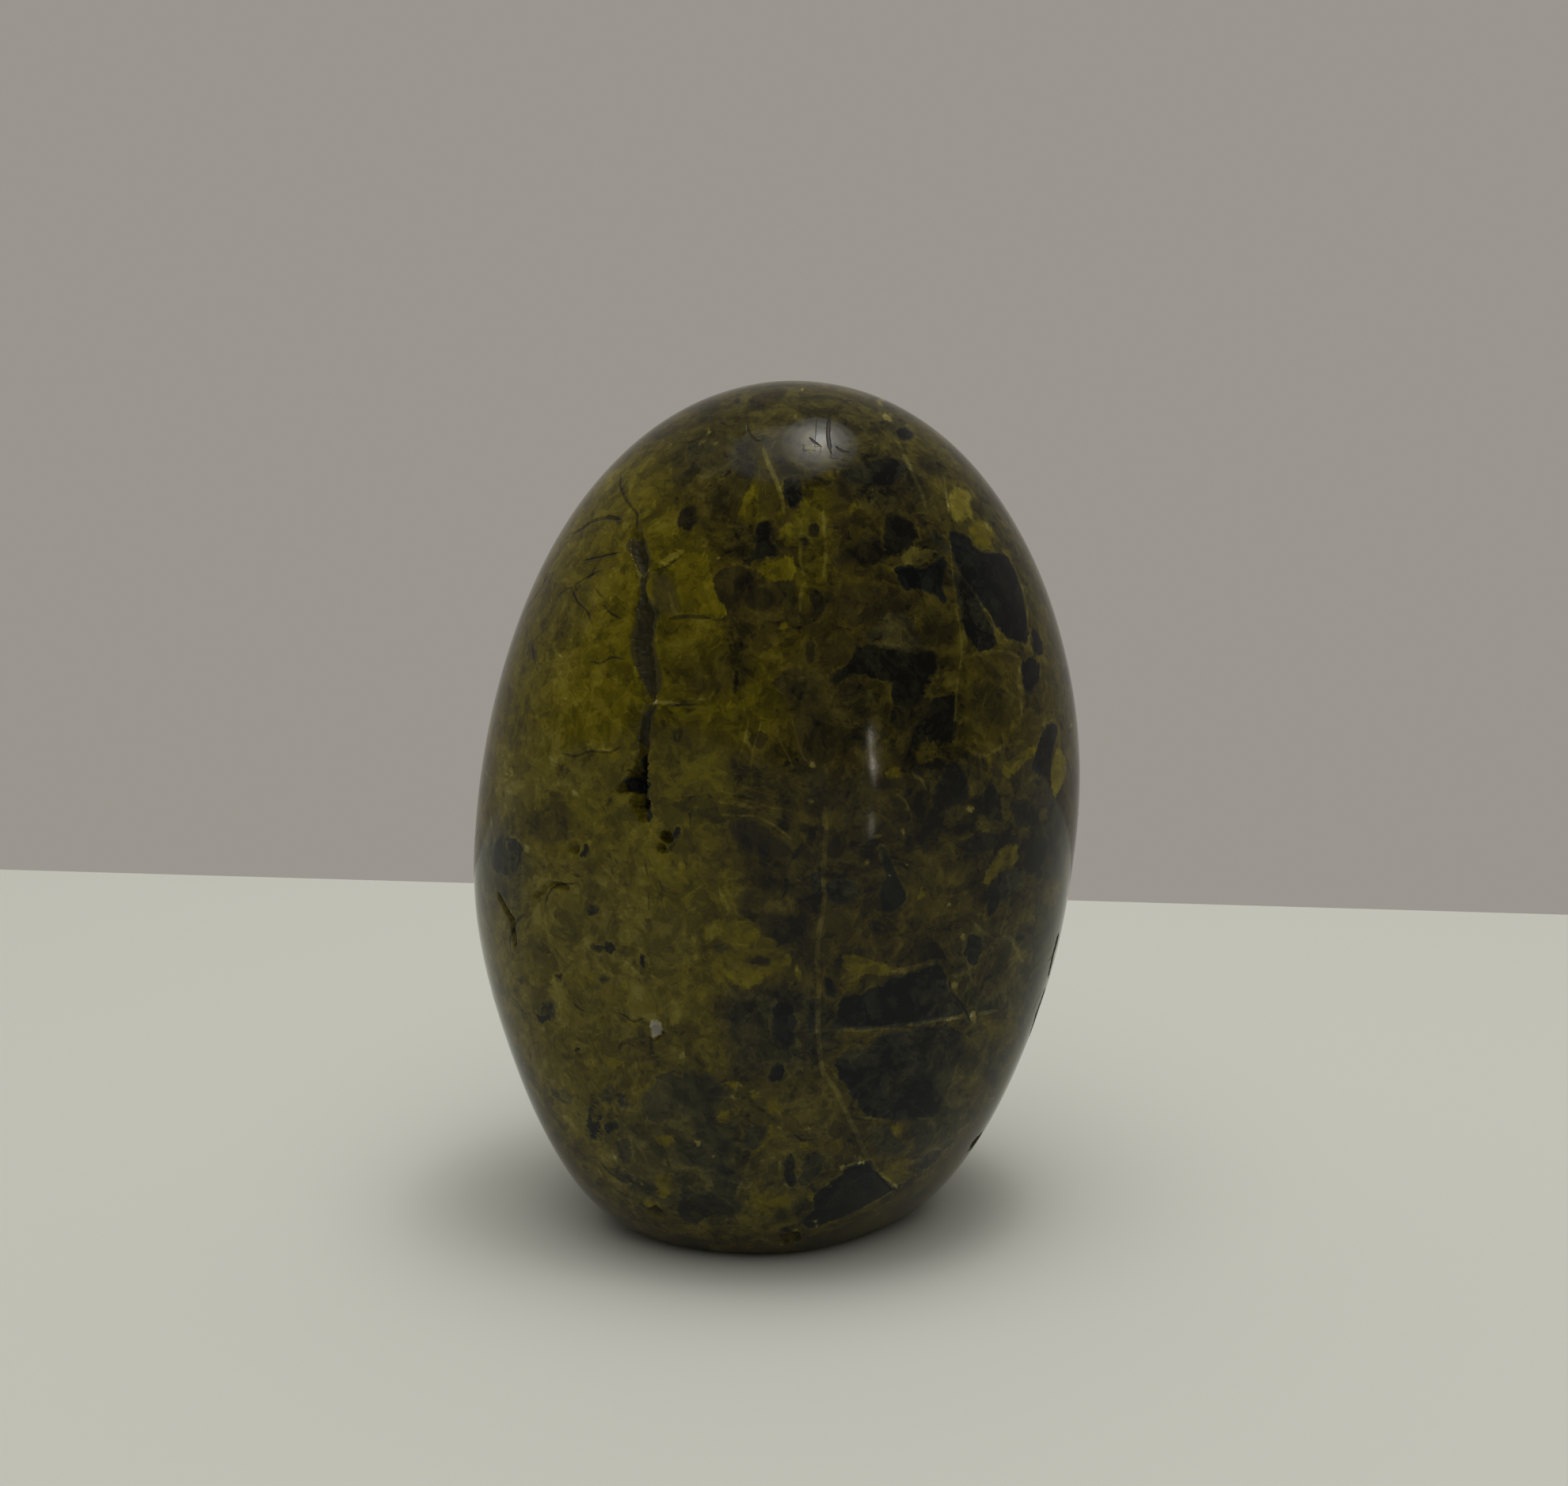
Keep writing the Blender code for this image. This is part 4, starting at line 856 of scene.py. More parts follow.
# Colours of the four hues by tone
YELLOW_HUE = ((0.0, (0.007, 0.006, 0.002)), (0.2, (0.033, 0.027, 0.003)), (0.4, (0.070, 0.057, 0.003)),
              (0.6, (0.125, 0.101, 0.004)), (0.8, (0.200, 0.165, 0.010)), (1.0, (0.34, 0.30, 0.06)))
BROWN_HUE = ((0.0, (0.007, 0.006, 0.004)), (0.2, (0.026, 0.020, 0.006)), (0.4, (0.052, 0.039, 0.007)),
             (0.6, (0.090, 0.068, 0.010)), (0.8, (0.145, 0.118, 0.028)), (1.0, (0.24, 0.21, 0.09)))
KHAKI_HUE = ((0.0, (0.010, 0.010, 0.007)), (0.2, (0.040, 0.036, 0.014)), (0.4, (0.078, 0.068, 0.019)),
             (0.6, (0.130, 0.112, 0.028)), (0.8, (0.200, 0.178, 0.060)), (1.0, (0.38, 0.35, 0.20)))
COOL_HUE = ((0.0, (0.0036, 0.0042, 0.0044)), (0.2, (0.017, 0.018, 0.0135)), (0.4, (0.036, 0.036, 0.022)),
            (0.6, (0.066, 0.066, 0.038)), (1.0, (0.17, 0.165, 0.11)))


def facing(azimuth, elevation):
    """Unit vector for an azimuth and elevation in degrees."""
    around = math.radians(azimuth)
    up = math.radians(elevation)
    level = math.cos(up)
    return np.array((level * math.cos(around), -level * math.sin(around), math.sin(up)))


def unit(vectors):
    """The same vectors at length 1."""
    return vectors / np.linalg.norm(vectors, axis=-1, keepdims=True)


def smooth(share):
    """0 to 1 with soft ends."""
    share = np.clip(share, 0, 1)
    return share * share * (3 - 2 * share)


def plain_reach(directions):
    """Distance from the centre to a leaning body, fuller below its middle than above."""
    along_x = directions[:, 0] * math.cos(LEAN) - directions[:, 2] * math.sin(LEAN)
    along_z = directions[:, 0] * math.sin(LEAN) + directions[:, 2] * math.cos(LEAN)
    fullness = np.where(along_z > 0, TOP_FULLNESS, LOW_FULLNESS)
    level = np.hypot(along_x / HALF_WIDTH, directions[:, 1] / HALF_DEPTH)
    height = np.abs(along_z / HALF_HEIGHT)
    return (level ** fullness + height ** fullness) ** (-1 / fullness)


def places_of(bm):
    """Where the vertices of a bmesh lie."""
    return np.array([vertex.co[:] for vertex in bm.verts])


def set_places(bm, places):
    """Move every vertex of a bmesh to its place."""
    for vertex, place in zip(bm.verts, places):
        vertex.co = place


def round_probes():
    """Points all over the plain body, for measuring how far it reaches."""
    bm = bmesh.new()
    bmesh.ops.create_icosphere(bm, subdivisions=PROBE_SUBDIVISIONS, radius=1.0)
    directions = unit(places_of(bm))
    bm.free()
    return directions * plain_reach(directions)[:, None]


PROBES = round_probes()


def body_reach(directions):
    """Distance from the centre to the skin, with its flats and swells."""
    reach = plain_reach(directions)
    cut = np.ones(len(directions))
    for azimuth, elevation, share in FLATS:
        normal = facing(azimuth, elevation)
        farthest = float((PROBES @ normal).max())
        to_plane = share * farthest / np.maximum(directions @ normal, SHALLOWEST_FACING)
        cut += np.exp(np.clip((reach - to_plane) / FLAT_BLEND, -EXPONENT_LIMIT, EXPONENT_LIMIT))
    reach = reach - FLAT_BLEND * np.log(cut)
    sharpness = 2 * (1 - math.cos(SWELL_SPREAD))
    for azimuth, elevation, height in SWELLS:
        closeness = directions @ facing(azimuth, elevation) - 1
        reach = reach + height * np.exp(closeness / sharpness)
    return reach


def body_centre():
    """Where the skin is measured from, with the body's box in the middle of the CAD box."""
    points = unit(PROBES)
    points = points * body_reach(points)[:, None]
    middle = (points.min(axis=0) + points.max(axis=0)) / 2
    low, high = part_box("stone")
    return np.array(((low.x + high.x) / 2 - middle[0], (low.y + high.y) / 2 - middle[1],
                     low.z + CENTRE_HEIGHT))


CENTRE = body_centre()
CAMERA_PLACE = np.array((CENTRE[0], CENTRE[1], 0)) + CAMERA_FROM_AXIS


def skin_points(directions):
    """Points of the uncarved skin in the given directions from the centre."""
    reach = body_reach(directions)
    to_ground = CENTRE[2] / np.maximum(-directions[:, 2], LEAST_DOWN)
    gap = np.abs(reach - to_ground) / RIM_BLEND
    rounding = RIM_BLEND * np.log1p(np.exp(-np.minimum(gap, EXPONENT_LIMIT)))
    return CENTRE + directions * (np.minimum(reach, to_ground) - rounding)[:, None]


def from_photo(pixels):
    """Points of the skin seen at photo pixels; one just off the outline slides onto its edge."""
    pixels = np.array(pixels, float)
    right = (pixels[:, 0] - PHOTO_WIDTH / 2) / FOCAL_PIXELS
    up = (PHOTO_HEIGHT / 2 - pixels[:, 1]) / FOCAL_PIXELS
    cos_pitch, sin_pitch = math.cos(CAMERA_PITCH), math.sin(CAMERA_PITCH)
    rays = unit(np.stack((right, cos_pitch + up * sin_pitch, up * cos_pitch - sin_pitch), axis=1))
    far = rays @ (CENTRE - CAMERA_PLACE)
    near = far - 2 * HALF_HEIGHT
    for _ in range(HALVINGS):
        middle = (near + far) / 2
        offset = CAMERA_PLACE + rays * middle[:, None] - CENTRE
        outside = np.linalg.norm(offset, axis=1) > body_reach(unit(offset))
        near = np.where(outside, middle, near)
        far = np.where(outside, far, middle)
    return skin_points(unit(CAMERA_PLACE + rays * near[:, None] - CENTRE))


def local_plane(points):
    """Middle of some skin points, the way out of the skin there, and two directions along it."""
    middle = points.mean(axis=0)
    outward = unit(middle - CENTRE)
    helper = np.array((1.0, 0, 0)) if abs(outward[2]) > STEEP else np.array((0, 0, 1.0))
    across = unit(np.cross(helper, outward))
    return middle, outward, across, np.cross(outward, across)


def rounded_outline(outline):
    """The outline with its corners cut once."""
    following = np.roll(outline, -1, axis=0)
    near_start = (1 - CORNER_CUT) * outline + CORNER_CUT * following
    near_end = CORNER_CUT * outline + (1 - CORNER_CUT) * following
    return np.stack((near_start, near_end), axis=1).reshape(-1, 2)


def inside_distance(places, outline):
    """Distance from each place to a closed outline, positive inside."""
    start = outline
    end = np.roll(outline, -1, axis=0)
    side = end - start
    offset = places[:, None] - start[None]
    share = np.clip((offset * side).sum(-1) / (side * side).sum(-1), 0, 1)
    distance = np.linalg.norm(offset - share[..., None] * side, axis=-1).min(axis=1)
    level_x, level_y = places[:, 0:1], places[:, 1:2]
    spans = (start[:, 1] > level_y) != (end[:, 1] > level_y)
    rise = np.where(np.abs(side[:, 1]) < TINY, TINY, side[:, 1])
    crossing = start[:, 0] + (level_y - start[:, 1]) * side[:, 0] / rise
    inside = (spans & (level_x < crossing)).sum(axis=1) % 2 == 1
    return np.where(inside, distance, -distance)


class Field:
    """Distances from every vertex to the marks laid on the skin."""

    def __init__(self, points):
        self.points = points
        self.outward = unit(points - CENTRE)

    def closeness(self, outline_points, softness):
        """Softnesses that each vertex lies inside an outline, from -MARK_REACH to MARK_REACH."""
        middle, outward, across, along = local_plane(outline_points)
        flat = np.stack(((outline_points - middle) @ across, (outline_points - middle) @ along), axis=1)
        reach = np.linalg.norm(outline_points - middle, axis=1).max() + MARK_REACH * softness
        offset = self.points - middle
        near = (np.linalg.norm(offset, axis=1) < reach) & (self.outward @ outward > SAME_SIDE)
        result = np.full(len(self.points), -MARK_REACH)
        places = np.stack((offset[near] @ across, offset[near] @ along), axis=1)
        distance = inside_distance(places, rounded_outline(flat))
        result[near] = np.clip(distance / softness, -MARK_REACH, MARK_REACH)
        return result

    def along_line(self, line_points, half_width):
        """Signed distance to a line in mm, and the line's half width in mm, thinning at its ends."""
        reach = (LINE_REACH + LINE_MARGIN) * MM
        result = np.full(len(self.points), LINE_REACH)
        width = np.zeros(len(self.points))
        middle = line_points.mean(axis=0)
        farthest = np.linalg.norm(line_points - middle, axis=1).max() + reach
        around = np.flatnonzero(np.linalg.norm(self.points - middle, axis=1) < farthest)
        lengths = np.linalg.norm(np.diff(line_points, axis=0), axis=1)
        starts = np.concatenate(((0,), np.cumsum(lengths)))
        taper = min(LINE_TAPER, starts[-1] / MM / 3)
        for i, length in enumerate(lengths):
            start, side = line_points[i], line_points[i + 1] - line_points[i]
            offset = self.points[around] - start
            near = np.linalg.norm(offset - side / 2, axis=1) < length / 2 + reach
            offset = offset[near]
            index = around[near]
            share = np.clip(offset @ side / length ** 2, 0, 1)
            aside = offset - share[:, None] * side
            distance = np.linalg.norm(aside, axis=1) / MM
            sign = np.sign((aside * np.cross(self.outward[index], side)).sum(axis=1))
            passed = starts[i] + offset @ side / length
            from_end = np.minimum(passed, starts[-1] - passed) / MM
            closer = distance < np.abs(result[index])
            result[index[closer]] = (sign * distance)[closer]
            width[index[closer]] = (half_width * np.clip(from_end / taper, 0, 1))[closer]
        return result, width


def smooth_line(pixels):
    """A traced line as closely spaced photo pixels on a smooth curve through its points."""
    points = np.array(pixels, float)
    ends = np.vstack((2 * points[0] - points[1], points, 2 * points[-1] - points[-2]))
    curve = []
    for before, start, end, after in zip(ends, ends[1:], ends[2:], ends[3:]):
        count = max(1, round(np.linalg.norm(end - start) / LINE_STEP))
        for k in range(count):
            t = k / count
            curve.append(0.5 * (2 * start + (end - before) * t
                                + (2 * before - 5 * start + 4 * end - after) * t ** 2
                                + (3 * start - before - 3 * end + after) * t ** 3))
    curve.append(points[-1])
    return np.array(curve)


def number_rows(text):
    """Rows of numbers from text, such as the x,y pairs of an outline."""
    return [tuple(float(number) for number in group.split(",")) for group in text.split()]


def uneven_oval(chance, left, top, right, bottom):
    """Photo pixels round an uneven oval between the given edges."""
    outline = []
    for k in range(OVAL_POINTS):
        turn = math.tau * (k + 0.5) / OVAL_POINTS
        size = chance.uniform(*OVAL_UNEVENNESS) / 2
        outline.append(((left + right) / 2 + (right - left) * size * math.cos(turn),
                        (top + bottom) / 2 + (bottom - top) * size * math.sin(turn)))
    return outline


def round_grid():
    """A sphere of six square grids, its points closer together at the front."""
    bm = bmesh.new()
    bmesh.ops.create_cube(bm, size=2.0)
    bmesh.ops.subdivide_edges(bm, edges=bm.edges[:], cuts=GRID_CUTS, use_grid_fill=True)
    even = unit(np.tan(places_of(bm) * math.pi / 4))
    set_places(bm, unit(even + FRONT_PULL * facing(*FRONT)))
    return bm


def crack_stretches():
    """Each straight stretch of the cracks: its two ends on the skin, half widths and depths."""
    for path in CRACKS.values():
        rows = np.array(path, float)
        ends = skin_points(np.array([facing(azimuth, elevation) for azimuth, elevation in rows[:, :2]]))
        for i in range(len(rows) - 1):
            yield ends[i:i + 2], rows[i:i + 2, 2] * MM, rows[i:i + 2, 3] * MM


def pit_places():
    """Every pit as a point on the skin, with its radius and depth in metres."""
    for azimuth, elevation, radius, depth in PITS:
        yield skin_points(facing(azimuth, elevation)[None])[0], radius * MM, depth * MM


def beside(points, ends):
    """How far along a stretch each point lies, from 0 to 1, and its distance from the stretch."""
    start, end = ends
    side = end - start
    share = np.clip((points - start) @ side / (side @ side), 0, 1)
    return share, np.linalg.norm(points - start - share[:, None] * side, axis=1)


def near_cuts(points, margin):
    """Which points lie in a crack or pit, or within a margin of it."""
    near = np.zeros(len(points), bool)
    for ends, half_widths, _ in crack_stretches():
        near |= beside(points, ends)[1] < half_widths.max() + margin
    for place, radius, _ in pit_places():
        near |= np.linalg.norm(points - place, axis=1) < radius + margin
    return near


def refine(bm, margin):
    """Divide the faces in and beside the cracks and pits once."""
    bm.verts.index_update()
    near = near_cuts(skin_points(unit(places_of(bm))), margin)
    edges = {edge for face in bm.faces if any(near[v.index] for v in face.verts) for edge in face.edges}
    bmesh.ops.subdivide_edges(bm, edges=list(edges), cuts=1, use_grid_fill=True)
    set_places(bm, unit(places_of(bm)))


def rough(points, waves):
    """Fractal noise at each point, added up from waves of a height, a size and some octaves."""
    total = np.zeros(len(points))
    for height, size, octaves in waves:
        values = [noise.fractal(Vector(point / size), 1.0, 2.0, octaves) for point in points]
        total = total + height * np.array(values)
    return total


def pressed(across, deepest, fullness):
    """Depth of a cut, from its deepest in the middle to 0 at its edge, where across is 1."""
    return deepest * np.clip(1 - across ** 2, 0, 1) ** fullness


def carved_depth(points):
    """How deep the cracks and pits press in at each point of the skin."""
    near = near_cuts(points, CUT_MARGIN)
    places = points[near]
    unevenness = 1 + rough(places, CUT_EDGE_WAVES)
    deep = np.zeros(len(places))
    for ends, half_widths, depths in crack_stretches():
        share, distance = beside(places, ends)
        half_width = half_widths[0] + share * (half_widths[1] - half_widths[0])
        deepest = depths[0] + share * (depths[1] - depths[0])
        deep = np.maximum(deep, pressed(distance / (half_width * unevenness), deepest, CRACK_FULLNESS))
    for place, radius, deepest in pit_places():
        across = np.linalg.norm(places - place, axis=1) / (radius * unevenness)
        deep = np.maximum(deep, pressed(across, deepest, PIT_FULLNESS))
    depth = np.zeros(len(points))
    depth[near] = deep * (1 + rough(places, CUT_FLOOR_WAVES))
    return depth


def ground_values(field):
    """Tone, brown, khaki and cool at each vertex, blended from the soft regions."""
    layers = []
    for azimuth, elevation, radius, softness, *hues in FAR_REGIONS:
        place = skin_points(facing(azimuth, elevation)[None])[0]
        inside = radius * MM - np.linalg.norm(field.points - place, axis=1)
        layers.append((0.5 + inside / (2 * softness * MM), hues))
    for softness, *hues, pixels in REGIONS.values():
        outline = from_photo(number_rows(pixels))
        outward = local_plane(outline)[1]
        cover = 0.5 + field.closeness(outline, softness * MM) / 2
        same_side = smooth((field.outward @ outward - SAME_SIDE) / SAME_SIDE_BLEND)
        layers.append((cover * same_side, hues))
    values = np.tile(np.array(PLAIN_GROUND), (len(field.points), 1))
    for cover, hues in layers:
        share = smooth(cover)[:, None]
        values = values * (1 - share) + np.array(hues) * share
    return values


def camera_facing(place):
    """How squarely the skin faces the camera at a place: 1 is full on, 0 is the rim."""
    outward = unit((place - CENTRE) / np.square((HALF_WIDTH, HALF_DEPTH, HALF_HEIGHT)))
    return outward @ unit(CAMERA_PLACE - place)


def far_place(chance, reach):
    """A place that the photo doesn't show, or only at a low angle, with room round it."""
    while True:
        direction = unit(np.array([chance.gauss(0, 1) for _ in range(3)]))
        place = skin_points(direction[None])[0]
        if camera_facing(place) < FAR_FACING - reach / HALF_DEPTH:
            return place


def far_marks():
    """Clasts and patches of the sides, back and top: kind, softness in mm and outline."""
    chance = random.Random(FAR_SEED)
    for kind, count, smallest, largest, softness in FAR_KINDS:
        for _ in range(count):
            size = chance.uniform(smallest, largest) * MM
            middle, _, across, along = local_plane(far_place(chance, size)[None])
            stretch = chance.uniform(*FAR_STRETCH)
            lean = chance.uniform(0, math.tau)
            corners = chance.randint(*FAR_CORNERS)
            angles = np.arange(corners)[:, None] * math.tau / corners
            radii = size * np.array([[chance.uniform(*FAR_CORNER_REACH)] for _ in range(corners)])
            radii = radii * np.hypot(np.cos(angles - lean), stretch * np.sin(angles - lean))
            spread = radii * (np.cos(angles) * across + np.sin(angles) * along)
            yield kind, softness, skin_points(unit(middle + spread - CENTRE))


def far_line(chance, length, bend):
    """Points of a wandering line over the part of the skin that the photo doesn't show."""
    place = far_place(chance, 0)
    heading = chance.uniform(0, math.tau)
    points = []
    for _ in range(max(3, round(length / FAR_LINE_STEP))):
        points.append(place)
        middle, _, across, along = local_plane(place[None])
        heading += chance.uniform(-bend, bend)
        ahead = middle + FAR_LINE_STEP * MM * (math.cos(heading) * across + math.sin(heading) * along)
        place = skin_points(unit(ahead - CENTRE)[None])[0]
        if camera_facing(place) > FAR_LINE_FACING:
            break
    return np.array(points)


def all_marks():
    """Every mark: kind, softness in mm, outline on the skin, and how clear its middle gets."""
    for kind, softness, pixels in MARKS.values():
        yield kind, softness, from_photo(number_rows(pixels)), MARK_REACH
    chance = random.Random(OVAL_SEED)
    for kind, (softness, clearness, spots) in SPOTS.items():
        for edges in number_rows(spots):
            yield kind, softness, from_photo(uneven_oval(chance, *edges)), clearness
    for kind, softness, outline in far_marks():
        yield kind, softness, outline, MARK_REACH


def all_lines(seed, traced, far_count, far_lengths, far_widths, bend):
    """Every vein or hairline: half width in mm, strength and points on the skin."""
    for half_width, strength, pixels in traced.values():
        yield half_width, strength, from_photo(smooth_line(number_rows(pixels)))
    chance = random.Random(seed)
    for _ in range(far_count):
        points = far_line(chance, chance.uniform(*far_lengths), bend)
        if len(points) > 2:
            yield chance.uniform(*far_widths), chance.uniform(*FAR_LINE_STRENGTH), points


def add_field(mesh, name, values):
    """Store one number, or three, at every vertex."""
    kind, member = ("FLOAT", "value") if values.ndim == 1 else ("FLOAT_VECTOR", "vector")
    attribute = mesh.attributes.new(name, kind, "POINT")
    attribute.data.foreach_set(member, values.astype(np.float32).ravel())


def add_marks(mesh, field):
    """Store how far inside a mark of each kind every vertex lies, in softnesses."""
    closeness = {kind: np.full(len(field.points), -MARK_REACH) for kind in KINDS}
    for kind, softness, outline, clearness in all_marks():
        inside = np.minimum(field.closeness(outline, softness * MM), clearness)
        closeness[kind] = np.maximum(closeness[kind], inside)
    for kind, values in closeness.items():
        add_field(mesh, f"mark_{kind}", values)


def add_lines(mesh, field, name, lines):
    """Store distance, half width and strength of the nearest line, in a few separate layers."""
    layers = [np.tile((LINE_REACH, 0.0, 0.0), (len(field.points), 1)) for _ in range(LINE_LAYERS)]
    for i, (half_width, strength, points) in enumerate(lines):
        distance, width = field.along_line(points, half_width)
        layer = layers[i % LINE_LAYERS]
        closer = (np.abs(distance) < np.abs(layer[:, 0])) & (np.abs(distance) < LINE_REACH)
        layer[closer, 0] = distance[closer]
        layer[closer, 1] = width[closer]
        layer[closer, 2] = strength
    for i, layer in enumerate(layers):
        add_field(mesh, f"{name}_{i + 1}", layer)


def make_skin():
    """The carved skin of the stone, with its marks stored at its vertices."""
    bm = round_grid()
    for margin in FINE_MARGINS:
        refine(bm, margin)
    directions = unit(places_of(bm))
    points = skin_points(directions)
    depth = carved_depth(points)
    above_foot = smooth((points[:, 2] - WAVES_START) / WAVES_BLEND)
    carved = points - directions * (depth + rough(points, POLISH_WAVES) * above_foot)[:, None]
    carved[:, 2] = np.maximum(carved[:, 2], 0)
    set_places(bm, carved)
    mesh = bpy.data.meshes.new("polished_stone")
    bm.to_mesh(mesh)
    bm.free()
    mesh.shade_smooth()
    field = Field(points)
    ground = ground_values(field)
    add_field(mesh, "ground", ground[:, :3])
    add_field(mesh, "ground_cool", ground[:, 3])
    add_field(mesh, "hollow", depth / MM)
    add_marks(mesh, field)
    for i, (name, rows) in enumerate(LINES.items()):
        add_lines(mesh, field, name, all_lines(FAR_SEED + 1 + i, *rows))
    stone = bpy.data.objects.new("polished_stone", mesh)
    bpy.context.scene.collection.objects.link(stone)
    return stone


class Recipe:
    """Adds nodes to a material and joins them, so that a look reads as a formula."""

    def __init__(self, tree):
        self.tree = tree

    def node(self, kind, **settings):
        """A new node with its settings."""
        made = self.tree.nodes.new(kind)
        for name, value in settings.items():
            setattr(made, name, value)
        return made

    def feed(self, socket, value):
        """Give a socket a link or a plain value."""
        if isinstance(value, bpy.types.NodeSocket):
            self.tree.links.new(value, socket)
        elif isinstance(value, tuple) and socket.type == "RGBA":
            socket.default_value = (*value[:3], 1.0)
        else:
            socket.default_value = value

    def fed(self, made, values):
        """A node with its sockets given links or plain values, by name or by number."""
        for name, value in values.items():
            self.feed(made.inputs[name], value)
        return made

    def calc(self, operation, *values):
        """One step of arithmetic."""
        return self.fed(self.node("ShaderNodeMath", operation=operation), dict(enumerate(values))).outputs[0]

    def total(self, a, b):
        """Two values added."""
        return self.calc("ADD", a, b)

    def times(self, a, b):
        """Two values multiplied."""
        return self.calc("MULTIPLY", a, b)

    def add_layers(self, start, layers, shares):
        """A value with some layers added, each times its share."""
        result = start
        for name, share in shares.items():
            result = self.total(result, self.times(layers[name], share))
        return result

    def between(self, value, low, high):
        """0 at low and 1 at high, with soft ends."""
        made = self.node("ShaderNodeMapRange", interpolation_type="SMOOTHSTEP")
        return self.fed(made, {"Value": value, "From Min": low, "From Max": high}).outputs[0]

    def mix(self, share, a, b):
        """Two colours blended."""
        made = self.node("ShaderNodeMix", data_type="RGBA")
        return self.fed(made, {0: share, 6: a, 7: b}).outputs[2]

    def blend(self, share, a, b):
        """Two numbers blended."""
        made = self.node("ShaderNodeMix", data_type="FLOAT")
        return self.fed(made, {0: share, 2: a, 3: b}).outputs[0]

    def field(self, name, output="Fac"):
        """A number stored at the vertices."""
        return self.node("ShaderNodeAttribute", attribute_name=name).outputs[output]

    def parts(self, name):
        """Three numbers stored at the vertices."""
        return self.fed(self.node("ShaderNodeSeparateXYZ"), {0: self.field(name, "Vector")}).outputs

    def vector(self, operation, vector, other):
        """One step of arithmetic on a vector, with another vector or with a scale."""
        made = self.node("ShaderNodeVectorMath", operation=operation)
        return self.fed(made, {0: vector, "Scale" if operation == "SCALE" else 1: other}).outputs[0]

    def place(self):
        """The place on the stone, in millimetres."""
        return self.vector("SCALE", self.node("ShaderNodeTexCoord").outputs["Object"], 1 / MM)

    def shift(self, place, amount):
        """A place moved by a fixed amount, so that two textures don't repeat each other."""
        return self.vector("ADD", place, tuple(amount * part for part in SHIFT_DIRECTION))

    def swirl(self, place, size, reach):
        """A place pushed about by noise, for textures that flow."""
        made = self.node("ShaderNodeTexNoise")
        self.fed(made, {"Vector": place, "Scale": 1 / size, "Detail": SWIRL_DETAIL})
        pushed = self.vector("SUBTRACT", made.outputs["Color"], (0.5, 0.5, 0.5))
        return self.vector("ADD", place, self.vector("SCALE", pushed, reach))

    def cloud(self, place, size, detail, roughness):
        """Noise with features of a given size in mm, from about -0.5 to 0.5."""
        made = self.node("ShaderNodeTexNoise")
        self.fed(made, {"Vector": place, "Scale": 1 / size, "Detail": detail, "Roughness": roughness})
        return self.calc("SUBTRACT", made.outputs[0], 0.5)

    def shards(self, place, size):
        """A random number for each angular fragment, from -0.5 to 0.5."""
        made = self.fed(self.node("ShaderNodeTexVoronoi"), {"Vector": place, "Scale": 1 / size})
        split = self.fed(self.node("ShaderNodeSeparateColor"), {0: made.outputs["Color"]})
        return self.calc("SUBTRACT", split.outputs[0], 0.5)

    def tones(self, tone, stops):
        """A colour for each tone."""
        made = self.node("ShaderNodeValToRGB")
        ramp = made.color_ramp
        while len(ramp.elements) < len(stops):
            ramp.elements.new(0.5)
        for element, (position, colour) in zip(ramp.elements, stops):
            element.position = position
            element.color = (*colour, 1.0)
        return self.fed(made, {0: tone}).outputs[0]


def texture_layers(recipe):
    """The layers of noise and fragments by name."""
    still = recipe.place()
    flowing = recipe.swirl(still, *FLOW)
    places = {"still": still, "flowing": flowing, "ragged": recipe.swirl(flowing, *FRAY)}
    layers = {}
    for name, (place, shift, *settings) in CLOUDS.items():
        layers[name] = recipe.cloud(recipe.shift(places[place], shift), *settings)
    for name, (place, shift, size) in SHARDS.items():
        layers[name] = recipe.shards(recipe.shift(places[place], shift), size)
    layers["thread_course"] = recipe.calc("ABSOLUTE", layers["thread_cloud"])
    for name, (source, low, high) in CUTOUTS.items():
        layers[name] = recipe.between(layers[source], low, high)
    return layers


def lay_marks(recipe, layers, values):
    """Lay every mark over the tone, hues and texture; the rims and the white spot become layers."""
    edge = recipe.add_layers(0.0, layers, EDGE_SHARES)
    calm_edge = recipe.times(edge, CALM_EDGE)
    blur = recipe.calc("MAXIMUM", recipe.add_layers(EDGE_BLUR, layers, BLUR_SHARES), SHARPEST_BLUR)
    fading = recipe.times(blur, -1.0)
    rims = 0.0
    for kind, kind_values in KINDS.items():
        inside = recipe.total(recipe.field(f"mark_{kind}"), calm_edge if kind in CALM_KINDS else edge)
        share = recipe.between(inside, fading, blur)
        values = [recipe.blend(share, value, own) for value, own in zip(values, kind_values)]
        rims = recipe.times(rims, recipe.calc("SUBTRACT", 1.0, share))
        if kind in RIMMED_KINDS:
            outside = recipe.calc("SUBTRACT", recipe.between(inside, *RIM_EDGES), share)
            rims = recipe.calc("MAXIMUM", rims, outside)
    layers["rims"] = recipe.times(rims, layers["unbroken"])
    layers["white"] = recipe.between(recipe.total(recipe.field("mark_white"), calm_edge), *WHITE_EDGE)
    return values


def line_cover(recipe, name, wander, softness):
    """How far the veins with their painted reflections, or the hairlines, of all layers cover the skin, from
    0 to 1.
    """
    cover = 0.0
    for i in range(LINE_LAYERS):
        distance, half_width, strength = recipe.parts(f"{name}_{i + 1}")
        aside = recipe.calc("ABSOLUTE", recipe.total(distance, wander))
        inside = recipe.calc("SUBTRACT", half_width, aside)
        share = recipe.between(inside, -softness, softness)
        present = recipe.calc("MINIMUM", recipe.times(half_width, WIDTH_PRESENCE), 1.0)
        layer = recipe.times(recipe.times(share, present), strength)
        cover = recipe.calc("MAXIMUM", cover, layer)
    return cover


